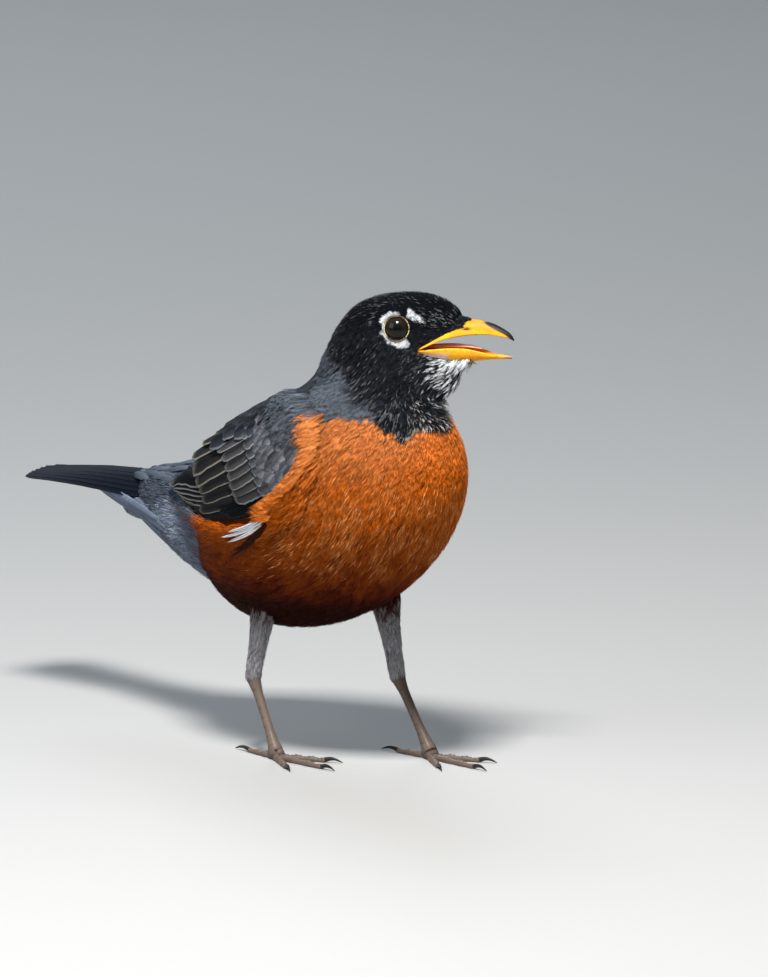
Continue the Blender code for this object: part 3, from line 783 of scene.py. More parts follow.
WET_EYE = eye_finish()
LID = horn_finish("lid_skin", 0.5, 1500)
EYE_SHIFT = np.array((0.3, 0.35, 0.4))  # of the ball from the middle of its socket
GAZE_AHEAD, GAZE_UP = np.radians((11.0, 7.0))  # the way that the eye faces, from straight sideways
RIM_RADIUS, RIM_THICKNESS, RIM_BEADS = 4.25, 0.32, 26
RIM_DARK, RIM_OCHRE = (0.012, 0.010, 0.008), (0.66, 0.54, 0.28)
for side, sign in LEFT_AND_RIGHT:
    centre = (EYE_PLACE + EYE_SHIFT) * (1, sign, 1)
    gaze = unit(np.array((np.sin(GAZE_AHEAD), sign * np.cos(GAZE_AHEAD), np.tan(GAZE_UP))))
    front = unit(np.cross(gaze, (0, 0, sign)))
    over = np.cross(front, gaze) * sign
    polar, turn = np.meshgrid(np.linspace(0.5, 179.5, 72), np.arange(0, 360, 5.0), indexing="ij")
    polar_r, turn_r = np.radians(polar)[..., None], np.radians(turn)[..., None]
    ring_way = np.cos(turn_r) * front + np.sin(turn_r) * over
    rings = centre + EYE_RADIUS * (np.sin(polar_r) * ring_way + np.cos(polar_r) * gaze)
    points, faces = closed_tube(in_body(rings))
    iris_map = np.stack([turn / 360, polar / 180], axis=-1).reshape(-1, 2)
    iris_map = np.vstack([iris_map, (0, 0), (0, 1)])
    maps, node = {"iris": iris_map}, f"eye_{side}"
    shape(f"eyeball_{side}", points, flipped(faces, sign < 0), WET_EYE, "eye", maps=maps, replaced=(node,))

    around, across = np.radians(np.meshgrid(np.arange(0, 360, 2.5), np.arange(0, 360, 30.0), indexing="ij"))
    thick = RIM_THICKNESS + 0.06 * np.sin(around * RIM_BEADS)
    r = RIM_RADIUS + thick * np.cos(across)
    lift = np.sqrt(EYE_RADIUS**2 - RIM_RADIUS**2) + thick * np.sin(across) * 0.8 + 0.12
    way = np.cos(around)[..., None] * front + np.sin(around)[..., None] * over
    ring = centre + r[..., None] * way + lift[..., None] * gaze
    rows, columns = around.shape
    faces = tube_faces(rows, columns, ends=False)
    j = np.arange(columns)
    last = (rows - 1) * columns
    faces.append(np.stack([last + j, last + (j + 1) % columns, (j + 1) % columns, j], axis=-1))
    ochre = mix(RIM_DARK, RIM_OCHRE, blend((RIM_RADIUS + 0.22 - r) / 0.3))
    glow = 0.7 + 0.25 * np.sin(around * RIM_BEADS) + 0.5 * ripple(ring, 2.2, 33)
    glow = glow - 0.35 * blend((np.sin(around) - 0.2) / 0.6)
    ochre = (ochre * glow[..., None].clip(0.10, 1.2)).reshape(-1, 3)
    shape(f"lid_rim_{side}", in_body(ring).reshape(-1, 3), flipped(faces, sign < 0), LID, "eye", ochre)

# ------------------------------------------------------------------ coat: the small feathers of the body
# Contour feathers grow from the skin and point to the tail, each over the ones behind it. Their loose barbs
# make a soft fan: here each barb is a closed sliver with a ridge, and every fan of them follows its shaft.
SLIVER_RIDGE = 0.25  # of its width
TRIES = 14  # random roots for each lattice cell
PATCH = 0.003  # of the unwrapped skin that each feather is coloured on

ahead_edges, across_edges = np.diff(grid_points, axis=0), np.roll(grid_points, -1, axis=1) - grid_points
cell_area = np.linalg.norm(np.cross(ahead_edges, across_edges[:-1]), axis=-1)
grid_turn, grid_spot = np.abs(grid_angle), in_head(grid_points)
WING_EDGES = (  # place on the spine, and the angles of the folded wing's top edge and low edge
    (0.58, 0.75, 1.05, 1.5, 2.0, 2.6, 3.3, 4.0, 4.6, 5.05),
    (46, 38, 26, 17, 15, 16, 19, 24, 34, 50),
    (57, 67, 79, 91, 98, 101, 103, 104, 98, 82),
)


def wing_lift(place, angle):
    """Height of the folded wing's surface over the coat: a swell between its edges, soon gone beyond them."""
    turn = np.abs(np.mod(angle + 180, 360) - 180)
    top, low = (np.interp(place, WING_EDGES[0], edge) for edge in WING_EDGES[1:])
    s = (turn - top) / (low - top)
    beyond = np.maximum(np.maximum(top - turn, turn - low), 0) / 9
    beyond = beyond + np.maximum(place - WING_EDGES[0][-1], 0) / 0.3
    beyond = beyond + np.maximum(WING_EDGES[0][0] - place, 0) / 0.2
    return (1.5 + 3.2 * np.sin(np.pi * np.clip(s, 0, 1)) ** 0.8) * (1 - blend(beyond))


def spread(spacing, inside, seed):
    """Roots where inside is true: of many random ones, the one nearest the middle of each lattice cell."""
    draw = np.random.default_rng(seed)
    weight = np.cumsum((cell_area * inside[:-1]).ravel())
    count = int(weight[-1] / spacing**2 * TRIES)
    cell = np.searchsorted(weight, draw.random(count) * weight[-1])
    i, j = np.divmod(cell, ANGLES)
    place = (i + draw.random(count)) / (PLACES - 1) * (len(SPINE) - 1)
    angle = (j + draw.random(count)) * 360 / ANGLES - 180
    lattice = on_coat(place, angle)[0] @ turned(37.0, 23.0) / spacing + 500
    off = np.linalg.norm(lattice % 1 - 0.5, axis=-1)
    order = np.argsort(off)
    key = lattice.astype(np.int64) @ np.array((1, 1000, 1000000))
    kept = order[np.unique(key[order], return_index=True)[1]]
    kept = kept[off[kept] < 0.6]
    return place[kept], angle[kept]


def walk(start, heading, length, heights):
    """Three stations from start over the body, each at its own height above the coat's surface."""
    found = []
    for height in heights:
        distance, normal = flesh(start)
        start = start + normal * (height - distance)[:, None]
        heading = unit(heading - normal * along(heading, normal))
        found.append((start, normal, np.cross(heading, normal)))
        start = start + heading * (length / 2)[:, None]
    return found


def through(three, t):
    """A curve's value at t, given its values at 0, a half and 1: the parabola through them."""
    a, b, c = (value[:, None, None] for value in three)
    t = t[..., None]
    return a * (1 - t) * (1 - 2 * t) + 4 * b * t * (1 - t) + c * t * (2 * t - 1)


def slivers(name, stations, half_width, barbs, colours, uv, slot, seed, fleck=None, rings=2, fill=1.35):
    """Fans of barbs along shafts: each barb leaves the shaft, bends to lie beside it, and ends in a point.

    stations are the shaft's points, normals and sides at 0, a half and 1; colours are for root, body and tip;
    fleck is a colour for some of the barbs, with the share of them in each fan; rings is how many rings of
    points a barb has, and fill how much of the fan the barbs cover.
    """
    draw = np.random.default_rng(seed)
    count = len(half_width)
    wide = half_width[:, None, None]
    b = np.linspace(-1, 1, barbs) + draw.uniform(-0.6, 0.6, (count, barbs)) / barbs
    end = (1 - 0.30 * b**2) * draw.uniform(0.80, 1.08, b.shape)
    part = np.append(np.linspace(0, 0.66, rings), 1.0)
    t = end[..., None] * part
    centre, normal, side = (through([s[k] for s in stations], t) for k in range(3))
    fan = 0.25 + 0.75 * np.sin(np.pi / 2 * np.clip(part * 1.5, 0, 1)) - 0.4 * part**3
    reach = wide * b[..., None] * fan + draw.normal(0, 0.09, (*b.shape, 1)) * t * wide
    drop = -0.12 * wide * b[..., None] ** 2 + draw.normal(0, 0.05, (*b.shape, 1)) * t
    middle = centre + side * reach[..., None] + normal * drop[..., None]
    width = fill * half_width[:, None] / barbs * draw.uniform(0.75, 1.25, b.shape)
    width = width[..., None, None] * np.interp(part[:rings], (0, 0.35, 0.66), (0.6, 1.0, 0.8))[:, None]
    body, normal, side = middle[:, :, :rings], normal[:, :, :rings], side[:, :, :rings]
    rails = [body - side * width / 2, body + normal * width * SLIVER_RIDGE, body + side * width / 2]
    size = 3 * rings + 1
    rails = np.stack(rails, axis=3).reshape(count, barbs, size - 1, 3)
    points = np.concatenate([rails, middle[:, :, rings:]], axis=2)
    shade = draw.uniform(0.80, 1.20, (count, barbs, 1, 1))
    root, main, tip = (np.repeat(c[:, None, None], barbs, axis=1) for c in colours)
    if fleck:
        chosen = 0.8 * (draw.random((count, barbs)) < fleck[1][:, None])[..., None, None]
        main, tip = (c + (np.array(fleck[0]) - c) * chosen for c in (main, tip))
    ramp = np.interp(part, (0, 0.33, 0.66, 1), (0, 0.75, 1, 1))[:, None]
    stops = (root + (main - root) * ramp)[:, :, :rings] * shade
    colour = np.concatenate([np.repeat(stops, 3, axis=2), tip * shade], axis=2)
    start = np.arange(count * barbs)[:, None, None] * size
    i, k = np.divmod(np.arange(3 * rings - 3), 3)
    quads = 3 * i[:, None] + np.stack([k, (k + 1) % 3, 3 + (k + 1) % 3, 3 + k], axis=-1)
    last, k = 3 * rings - 3, np.arange(3)
    points_in = np.vstack([np.stack([last + k, last + (k + 1) % 3, 0 * k + size - 1], axis=-1), (0, 2, 1)])
    faces = [(start + corners).reshape(-1, corners.shape[1]) for corners in (quads, points_in)]
    repeats = (*([3] * rings), 1)
    patch = np.stack([np.repeat(b[..., None] * 0.5, size, axis=2), np.repeat(-t, repeats, axis=2)], axis=-1)
    patch = (uv[:, None, None] + PATCH * patch).reshape(-1, 2)
    return shape(name, points.reshape(-1, 3), faces, FEATHER, slot, colour.reshape(-1, 3), {"OFBake": patch})


def unwrap(place, angle):
    """The skin's own unwrap: angle round the body across, place along the spine up."""
    across, up = np.mod(angle + 180, 360) / 360, place / (len(SPINE) - 1)
    return np.stack([across * 0.98 + 0.01, up * 0.98 + 0.01], axis=-1)


def round_the_eye(points, heading):
    """Turns headings near an eye so that no feather runs into it: what points at the eye is taken out."""
    spot = in_head(points)
    r, _ = eye_polar(spot)
    from_eye = np.stack([spot[:, 0] - EYE_PLACE[0], 0 * r, spot[:, 2] - EYE_PLACE[2]], axis=-1)
    out = unit(from_eye) @ HEAD_AXES.T
    near = blend((11.0 - r) / 5.0) * (np.abs(spot[:, 1]) > 4) * (spot[:, 0] < 12)
    inward = np.minimum(along(heading, out), 0.0)
    return unit(heading - out * inward * 1.25 * near[:, None] + 0.001)


FLECK, BIB_FLECK, WORN_ORANGE = (0.20, 0.205, 0.22), (0.62, 0.56, 0.48), (0.96, 0.40, 0.13)
TIP_LIFT = 0.13  # how far the tips of the feathers stand proud, more or less


def coat(name, spacing, inside, length, half_width, barbs, slot, seed, fleck, pale, over_wing):
    """A tract of contour feathers over part of the body.

    fleck is the share of pale barbs, pale how much paler the tips are, and over_wing how far above the folded
    wing the feathers lie where they cover it.
    """
    draw = np.random.default_rng(seed + 100)
    place, angle = spread(spacing, inside, seed)
    count = len(place)
    depth = coat_depth(place)
    size = draw.uniform(0.85, 1.15, count)
    stride, _ = stride_and_arc(place, angle)
    back = place - length * size / stride / 2
    cover = [wing_lift(at, angle) * (over_wing > 0) for at in (place, back, 2 * back - place)]
    point, normal, ahead = on_coat(place, angle, -0.9 * depth + cover[0])
    heading = unit(-ahead + np.cross(ahead, normal) * draw.normal(0, 0.12, (count, 1)))
    turn = np.abs(angle)
    swept = 0.9 * blend((place - 7.4) / 1.0) * blend((turn - 110) / 30)
    heading = unit(heading - HEAD_AXES[:, 0] * swept[:, None])
    heading = round_the_eye(point, heading)
    clump = ripple(point, 6.0, 40 + seed)
    tips = draw.normal(0, TIP_LIFT, count) + TIP_LIFT * clump
    heights = (cover[0] - 0.85 * depth, cover[1] - 0.32 * depth + 0.5 * tips, cover[2] - 0.1 + tips)
    over = over_wing * (cover[1] > 0.5)
    ruff = 0.9 * blend((place - 9.6) / 0.8) + 1.9 * np.exp(-(((place - 7.35) / 0.45) ** 2))
    full = blend((turn - 145) / 20) * ruff
    heights = [h + over + part * full for h, part in zip(heights, (0.35, 0.9, 1.0))]
    stations = walk(point, heading, length * size, heights)
    share = draw.random(count)
    main = plumage(stations[1][0], back, angle, share)
    up = stations[1][0][:, 2]
    sideways = blend((turn - 95) / 30)
    frosting = 0.75 * pale * draw.random(count) ** 1.6 * blend((clump + 0.5) / 1.0) * (0.3 + 0.7 * sideways)
    frosting = frosting * blend((up - 60) / 22) * blend((122 - up) / 14) * blend((place - 2.2) / 1.2)
    tip = mix(main, PEACH, frosting) if pale else 1.15 * main
    main = mix(main, PEACH, 0.35 * frosting) if pale else main
    dark = 1 - blend((main.max(axis=-1) - 0.08) / 0.1)
    worn = blend((up - 60) / 20) * blend((124 - up) / 16) * (0.35 + 0.65 * sideways)
    worn = worn * blend((place - 2.2) / 1.2)
    worn = worn * (0.25 + 1.1 * blend(0.5 + ripple(point, 11.0, 60) / 1.4))
    bib = blend((turn - 138) / 12) * blend((7.6 - place) / 0.5)
    spot = in_head(point)
    on_top = 1 - 0.65 * blend((spot[:, 2] - 1.5) / 4) * (place > 7)
    lore = blend((spot[:, 0] - 2) / 2) * blend((1 - spot[:, 2]) / 2) * blend((spot[:, 2] + 7) / 2)
    on_top = on_top * (1 - 0.9 * lore)
    flecks = None
    if fleck:
        chance = fleck * (0.35 + 1.2 * blend(0.5 + clump / 2)) * on_top + 0.16 * bib
        flecks = mix(FLECK, BIB_FLECK, bib)[:, None, None], chance * dark
    if pale:
        flecks = WORN_ORANGE, 0.11 * worn * (1 - dark)
    # The roots are darker: partly the feathers' own darker bases, partly painted shade between the tufts.
    colours = (0.38 if pale else 0.5) * main, main, tip
    slivers(name, stations, half_width * size, barbs, colours, unwrap(place, angle), slot, seed, flecks)


eye_ahead, eye_up = grid_spot[..., 0] - EYE_PLACE[0] - 0.85, grid_spot[..., 2] - EYE_PLACE[2] - 0.7
grid_eye = np.hypot(eye_ahead, eye_up) + 20 * (np.abs(grid_spot[..., 1]) < 4.5)
clear = ~in_bill(grid_spot, 0.35) & (grid_eye > 4.95)
face = clear & (grid_place > 8.1) & (grid_turn < 148)
lids = face & (grid_eye < 8.3)
ORANGE_OVER_WING = (  # place, and the angle below which orange feathers lie over the wing and the flank
    (1.0, 1.5, 2.6, 3.0, 3.25, 3.45, 4.0, 4.5, 4.8, 5.0, 5.25, 5.6, 6.0),
    (80, 89, 99, 101, 100, 96, 95, 96, 93, 85, 77, 72, 66),
)
orange = (grid_turn > np.interp(grid_place, *ORANGE_OVER_WING)) & (grid_place < 6.9)
neck_edge = np.interp(grid_turn, (60, 75, 90), (4.4, 4.6, 5.0))
neck = ~(orange & (grid_place <= 5.6)) & (grid_place > neck_edge) & (grid_place <= 7)
neck = neck & ((grid_turn < 148) | (grid_place < 6.9))
crown = clear & (grid_place > 7) & (grid_place <= 8.1) & (grid_turn < 148)
throat = clear & (grid_place > 6.9) & (grid_turn >= 148)
vent = (grid_place > 0.02) & (grid_place <= 1.4) & (grid_turn > 80)
rump = (grid_place > 0.1) & (grid_place <= np.interp(grid_turn, (20, 30), (1.75, 2.3))) & (grid_turn <= 80)
left, chest = grid_angle > 0, (grid_place > 3.3) & (grid_place <= 5.6)
belly = (grid_place > 1.35) & (grid_place <= 3.3) & orange
ORANGE_SLOT, BLACK_SLOT = "orange_feathers", "black_feathers"
SLATE_SLOT, PALE_SLOT = "slate_feathers", "pale_feathers"
TRACTS = (  # name, spacing, where, length, half width, barbs, slot, flecks, pale tips, height over the wing
    ("coat_lids", 0.5, lids, 1.25, 0.30, 3, BLACK_SLOT, 0.03, 0, 0),
    ("coat_face", 0.72, face & ~lids, 2.1, 0.42, 3, BLACK_SLOT, 0.20, 0, 0),
    ("coat_crown", 0.95, crown, 3.4, 0.62, 4, BLACK_SLOT, 0.045, 0, 0),
    ("coat_throat", 0.72, throat, 3.6, 0.36, 3, BLACK_SLOT, 0.06, 0, 0),
    ("coat_neck", 1.25, neck, 5.2, 1.0, 6, SLATE_SLOT, 0.18, 0, 1.4),
    ("coat_breast_left", 1.5, chest & orange & left, 7.5, 1.35, 8, ORANGE_SLOT, 0, 1.0, 1.2),
    ("coat_breast_right", 1.5, chest & orange & ~left, 7.5, 1.35, 8, ORANGE_SLOT, 0, 1.0, 1.2),
    ("coat_belly_left", 1.75, belly & left, 9.0, 1.5, 8, ORANGE_SLOT, 0, 0.5, 1.2),
    ("coat_belly_right", 1.75, belly & ~left, 9.0, 1.5, 8, ORANGE_SLOT, 0, 0.5, 1.2),
    ("coat_vent", 1.9, vent, 10.0, 1.7, 8, PALE_SLOT, 0, 0, 0),
    ("coat_rump", 1.9, rump, 9.5, 1.7, 8, SLATE_SLOT, 0, 0, 0),
)
for number, (*tract, fleck, pale, over_wing) in enumerate(TRACTS):
    coat(*tract, number, fleck, pale, over_wing)

# Short velvety feathers run out over the root of the upper bill as far as the nostrils.
FOREHEAD = ((15, 17.5, 19.5, 21.5, 23), (0.4, 1.5, 1.4, 0.7, 0.1))  # ahead, and how high the tips stand
draw = np.random.default_rng(45)
count = 900
turn = draw.uniform(0.37, np.pi - 0.37, count)
reach = np.interp(np.sin(turn), *FEATHER_LINE) + draw.normal(0, 0.25, count)
row = np.interp(reach - 11.0 * draw.random(count) ** 1.2, UPPER_BILL[:, 0], np.arange(len(UPPER_BILL)))
ahead, half_width, high, low = smooth_rows(UPPER_BILL, row).T
point = np.stack([ahead, half_width * np.cos(turn), low + (high - low) * np.sin(turn) ** 0.92], axis=-1)
normal = unit(np.stack([0 * turn, np.cos(turn) * (high - low), np.sin(turn) * half_width], axis=-1))
side = np.cross((-1.0, 0, 0), normal)
stations = []
crest = blend((np.sin(turn) - 0.45) / 0.45) * np.interp(ahead, *FOREHEAD)
crest = (crest * draw.uniform(0.2, 1.0, count))[:, None]
for back, height, proud in ((0.0, -0.1, 0.5), (0.9, 0.3, 0.85), (1.8, 0.38, 1.0)):
    spot = point - (back, 0, 0) + normal * (height + proud * crest + draw.normal(0, 0.04, (count, 1)))
    stations.append((in_body(spot), normal @ HEAD_AXES.T, side @ HEAD_AXES.T))
main = mix(BLACK, GREY, 0.12 * draw.random(count))
uv = unwrap(np.full(count, 10.7), np.degrees(turn) * 0.3)
half_width, flecks = np.full(count, 0.42), (FLECK, np.full(count, 0.06))
slivers("coat_nares", stations, half_width, 3, (main, main, 1.2 * main), uv, BLACK_SLOT, 46, flecks)

# White feathers grow forward under the lower bill and hang from it, and a few bare bristles stand by the gape
# and under the chin.
draw = np.random.default_rng(47)
for name, count, reach, way, length, half_width, barbs, paint in (
    ("coat_chin", 420, (13.0, 23.2), (-0.5, 0, -0.87), 6.0, 0.42, 3, WHITE),
    ("bristles", 22, (19.0, 23.0), (0.72, 0, -0.55), 3.6, 0.16, 2, BLACK),
):
    ahead, lean = draw.uniform(*reach, count), draw.uniform(-1, 1, count)
    row = np.interp(ahead, LOWER_BILL[:, 0], np.arange(len(LOWER_BILL)))
    _, half, high, low = smooth_rows(LOWER_BILL, row).T
    point = np.stack([ahead, 0.72 * half * lean, low + 0.35 + 0.9 * lean**2], axis=-1)
    heading = unit(way + np.outer(lean, (0, 0.25, 0)) + draw.normal(0, 0.08, (count, 3)))
    outwards = (0.87, 0, -0.5) + np.outer(lean, (0, 0.9, 0))
    normal = unit(np.cross(np.cross(heading, outwards), heading))
    step = (heading * length * draw.uniform(0.75, 1.1, (count, 1)) / 2) @ HEAD_AXES.T
    side = np.cross(heading, normal) @ HEAD_AXES.T
    stations = [(in_body(point) + k * step, normal @ HEAD_AXES.T, side) for k in (0, 1, 2)]
    dark = draw.random(count) < 0.3 + 0.45 * (ahead < 16.5)
    main = np.where(dark[:, None], BLACK, np.array(paint)) * draw.uniform(0.75, 1.0, (count, 1))
    colours, uv = (0.8 * main, main, main), unwrap(0 * ahead + 10.9, 180 + 20 * lean)
    slivers(name, stations, np.full(count, half_width), barbs, colours, uv, BLACK_SLOT, 48)

# A fringe of long loose barbs hangs from the orange flank over the front and the low edge of the folded wing.
FRINGE = (  # place on the spine and angle, from the front of the wing to the end of its low edge
    (5.15, 5.0, 4.88, 4.72, 4.45, 4.05, 3.65, 3.40, 3.32),
    (79, 86, 91, 94, 94.5, 93.5, 93, 94, 98),
)
FRINGE_TIP = (0.95, 0.42, 0.12)
for number, sign in enumerate((1, -1)):
    draw = np.random.default_rng(50 + number)
    count = 420
    at = draw.uniform(0, 8, count)
    place = np.interp(at, np.arange(9), FRINGE[0]) + draw.uniform(-0.02, 0.16, count)
    turn = np.interp(at, np.arange(9), FRINGE[1]) + draw.uniform(-0.5, 4.5, count)
    length = draw.uniform(0.26, 0.46, count) * np.interp(turn, (66, 80, 97), (0.8, 1, 0.8))
    stations = []
    for part, height in ((0.0, 0.9), (0.5, 1.5), (1.0, 1.5)):
        spots = place - part * length, (turn - 2.5 * part) * sign
        point, normal, ahead = on_coat(*spots, wing_lift(*spots) + height + draw.normal(0, 0.2, count))
        stations.append((point, normal, np.cross(-ahead, normal)))
    main = plumage(stations[0][0], place, turn * sign, draw.random(count))
    main = mix(main, FRINGE_TIP, draw.uniform(0, 0.45, count))
    slivers(
        f"flank_fringe_{number}", stations, draw.uniform(0.6, 1.0, count), 5, (main, main, 1.1 * main),
        unwrap(place, turn * sign), ORANGE_SLOT, 51, rings=3, fill=0.9,
    )

# The feathers of the lower legs are short and pale, and lie down the leg as far as the ankle. Near the belly
# they turn a dark rust: the belly's colour, darkened as painted shade under it.
SHADED_THIGH = (0.05, 0.008, 0.002)
for number, side in enumerate(LEGS):
    draw = np.random.default_rng(60 + number)
    count = 760
    start, turn = draw.uniform(0.12, 0.93, count), draw.uniform(0, 2 * np.pi, count)
    knee, ankle, _ = np.array(LEGS[side], float)
    down = unit(ankle - knee)
    front = unit(np.cross((0, 1, 0), down))
    out = np.cos(turn)[:, None] * front + np.sin(turn)[:, None] * np.cross(down, front)
    stations = []
    for step, height in ((0.0, -0.7), (0.07, -0.25), (0.14, 0.1)):
        middle, radius = shank(side, start + step)
        radius = np.where(start + step > 1, ANKLE_RADIUS - 9 * (start + step - 1), radius)
        radius = radius + height + draw.normal(0, 0.05, count)
        stations.append((middle + out * radius[:, None], out, np.cross(down, out)))
    main = np.array(SHANK_COLOUR) * draw.uniform(0.8, 1.2, (count, 1))
    main = mix(main, SHADED_THIGH, blend((stations[0][0][:, 2] - 46 + 3 * draw.normal(size=count)) / 7))
    uv = np.stack([0.3 + 0.4 * number + 0.02 * turn, 0.3 + 0.1 * start], axis=-1)
    colours = (0.7 * main, main, 1.1 * main)
    slivers(f"coat_shank_{side}", stations, np.full(count, 0.7), 4, colours, uv, PALE_SLOT, 61)

# ------------------------------------------------------------------ wings
# Each folded wing is a stack of stiff vaned feathers, every one over the next lower one, and rows of coverts
# over their roots. A vane is a closed leaf either side of a shaft, lying on the ones below it.
COLUMNS = np.array((-1, -0.9, -0.72, -0.36, 0, 0.36, 0.72, 0.9, 1))
AROUND = np.concatenate([COLUMNS[::-1], COLUMNS[1:-1]])  # over the top of a vane, then back below it
ON_TOP = np.arange(len(AROUND)) < len(COLUMNS)
LEAF_PROFILE = np.where(ON_TOP, 1.0, -0.4) * (1 - AROUND**2) + 0.5 * ON_TOP * (AROUND == 0)
VANE_THICKNESS = 0.16
COMB_FINENESS, COMB_DETAIL = 26, 3
BARB_SLANT, BARB_SPREAD = 0.9, 0.12  # of the lines that the barbs follow


def vane_finish(name):
    """Stiff vanes: the mesh's colour, combed by the vane's own map into fine slanting barbs with relief."""
    finish = mottled_finish(name, FEATHER_ROUGHNESS, 0.04, *FEATHER_GRAIN)
    tree = finish.node_tree
    surface = tree.nodes["Principled BSDF"]
    own_map = add_node(tree, "UVMap", uv_map="vane").outputs["UV"]
    parts = add_node(tree, "SeparateXYZ", {"Vector": own_map}).outputs
    across = add_node(tree, "Math", {0: parts["X"]}, operation="ABSOLUTE").outputs[0]
    factors = {0: across, 1: BARB_SLANT, 2: parts["Y"]}
    slant = add_node(tree, "Math", factors, operation="MULTIPLY_ADD").outputs[0]
    soft = add_node(tree, "Math", {0: parts["X"], 1: BARB_SPREAD}, operation="MULTIPLY").outputs[0]
    barb = add_node(tree, "CombineXYZ", {"X": soft, "Y": slant}).outputs[0]
    grain = {"Vector": barb, "Scale": COMB_FINENESS, "Detail": COMB_DETAIL}
    comb = add_node(tree, "TexNoise", grain).outputs["Fac"]
    depth = add_node(tree, "MapRange", {"Value": comb, "To Min": 0.55, "To Max": 1.45}).outputs["Result"]
    mottled = surface.inputs["Base Color"].links[0].from_socket
    shade = add_node(tree, "VectorMath", {0: mottled, "Scale": depth}, operation="SCALE").outputs[0]
    feed(surface, {"Base Color": shade, "Normal": bumps(tree, comb, 0.35)})
    return finish


VANED = vane_finish("vaned_feathers")


def outline(t, blunt):
    """Half width of a vane along its shaft, from a narrow root to a rounded end that begins at blunt."""
    end = np.clip((t - blunt) / (1 - blunt), 0, 1)
    return np.maximum((0.5 + 0.5 * blend(t / 0.35)) * np.sqrt(1 - end**2.2), 0.03)


def leaf_mesh(name, points, colour, vane_map, patch, slot):
    """One mesh of many closed leaves from their rings (leaf, row, ring, 3), with a point more in each end."""
    count, rows, size = points.shape[:3]

    def whole(grid):
        ends = np.stack([grid[:, 0].mean(axis=1), grid[:, -1].mean(axis=1)], axis=1)
        joined = np.concatenate([grid.reshape(count, rows * size, -1), ends], axis=1)
        return joined.reshape(-1, grid.shape[-1])

    start = np.arange(count)[:, None, None] * (rows * size + 2)
    faces = [(start + f).reshape(-1, f.shape[1]) for f in flipped(tube_faces(rows, size))]
    maps = {"OFBake": whole(patch), "vane": whole(vane_map)}
    return shape(name, whole(points), faces, VANED, slot, whole(colour), maps)


def leaf_maps(x, along_t, length, corner, low, draw):
    """The vane's own map, each leaf at a place of its own along it, and its patch of the unwrapped skin."""
    vane_map = np.stack([x / 10, along_t * length / 10], axis=-1) + draw.random((len(x), 1, 1, 2)) * (0, 5)
    return vane_map, corner[:, None, None] + PATCH * np.stack([low / 2, -along_t], axis=-1)


def vanes(name, root, tip, high_width, low_width, rise, colours, slot, blunt, tilt, steps, seed, level=1.0,
          curl=0.35, vary=0.2):
    """Feathers over the body and the folded wing.

    root and tip are each feather's (place, angle); rise is the height of root, middle and tip over level
    times the wing's own lift; colours are for shaft and upper vane, for the lower vane, and for its edge;
    blunt is where the rounded end begins; tilt lifts one edge over the other, curl lowers both, and vary is
    how much the feathers differ in shade.
    """
    draw = np.random.default_rng(seed + 200)
    root, tip = np.asarray(root, float), np.asarray(tip, float)
    count = len(root)
    high_width, low_width = (np.broadcast_to(w, count)[:, None, None] for w in (high_width, low_width))
    sign = np.where(root[:, 1] < 0, -1.0, 1.0)[:, None, None]
    t = 1 - (1 - np.linspace(0, 1, steps)) ** 1.5
    place = root[:, :1] + (tip - root)[:, :1] * t
    angle = root[:, 1:] + (tip - root)[:, 1:] * t
    here, normal, ahead = on_coat(place, angle)
    stride, arc = stride_and_arc(place, angle)
    side = np.cross(unit(np.gradient(here, axis=1)), normal)
    left = np.cross(normal, ahead)
    low = AROUND * sign
    shape_along = outline(t, blunt) * (1 + 0.04 * draw.normal(size=(count, steps)))
    x = AROUND * np.where(low > 0, low_width, high_width) * shape_along[..., None]
    offset = side[:, :, None] * x[..., None]
    vertex_place = place[..., None] + along(offset, ahead[:, :, None])[..., 0] / stride[..., None]
    vertex_angle = angle[..., None] + along(offset, left[:, :, None])[..., 0] / arc[..., None]
    a, b, c = rise
    height = a * (1 - t) * (1 - 2 * t) + 4 * b * t * (1 - t) + c * t * (2 * t - 1)
    height = height[:, None] + tilt * x * sign - curl * AROUND**2 + VANE_THICKNESS * LEAF_PROFILE
    height = height + draw.normal(0, 0.03, (count, 1, 1)) + level * wing_lift(vertex_place, vertex_angle)
    points = on_coat(vertex_place, vertex_angle, height)[0]
    low = low + 0 * x
    along_t = t[:, None] + 0 * x
    shade = draw.uniform(1 - vary, 1 + vary, (count, 1, 1, 1))
    dark, base, trim = colours
    colour = mix(dark, base, blend((low + 0.1) / 0.8)) * shade
    edge = 0.6 * blend((along_t - 0.93) / 0.05) * blend((low + 0.6) / 0.5)
    colour = mix(colour, trim, np.maximum(blend((low - 0.74) / 0.14), edge))
    colour = colour * (1 - 0.35 * ((AROUND == 0) & ON_TOP))[:, None]
    length = np.linalg.norm(np.diff(here, axis=1), axis=-1).sum(axis=1)[:, None, None]
    vane_map, patch = leaf_maps(x, along_t, length, unwrap(root[:, 0], root[:, 1]), low, draw)
    leaf_mesh(name, points, colour, vane_map, patch, slot)


def between_rows(first, count):
    """Rows read evenly from the first to the last of a short list of (place, angle)."""
    first = np.asarray(first, float)
    at = np.linspace(0, len(first) - 1, count)
    return np.stack([np.interp(at, np.arange(len(first)), first[:, k]) for k in (0, 1)], axis=-1)


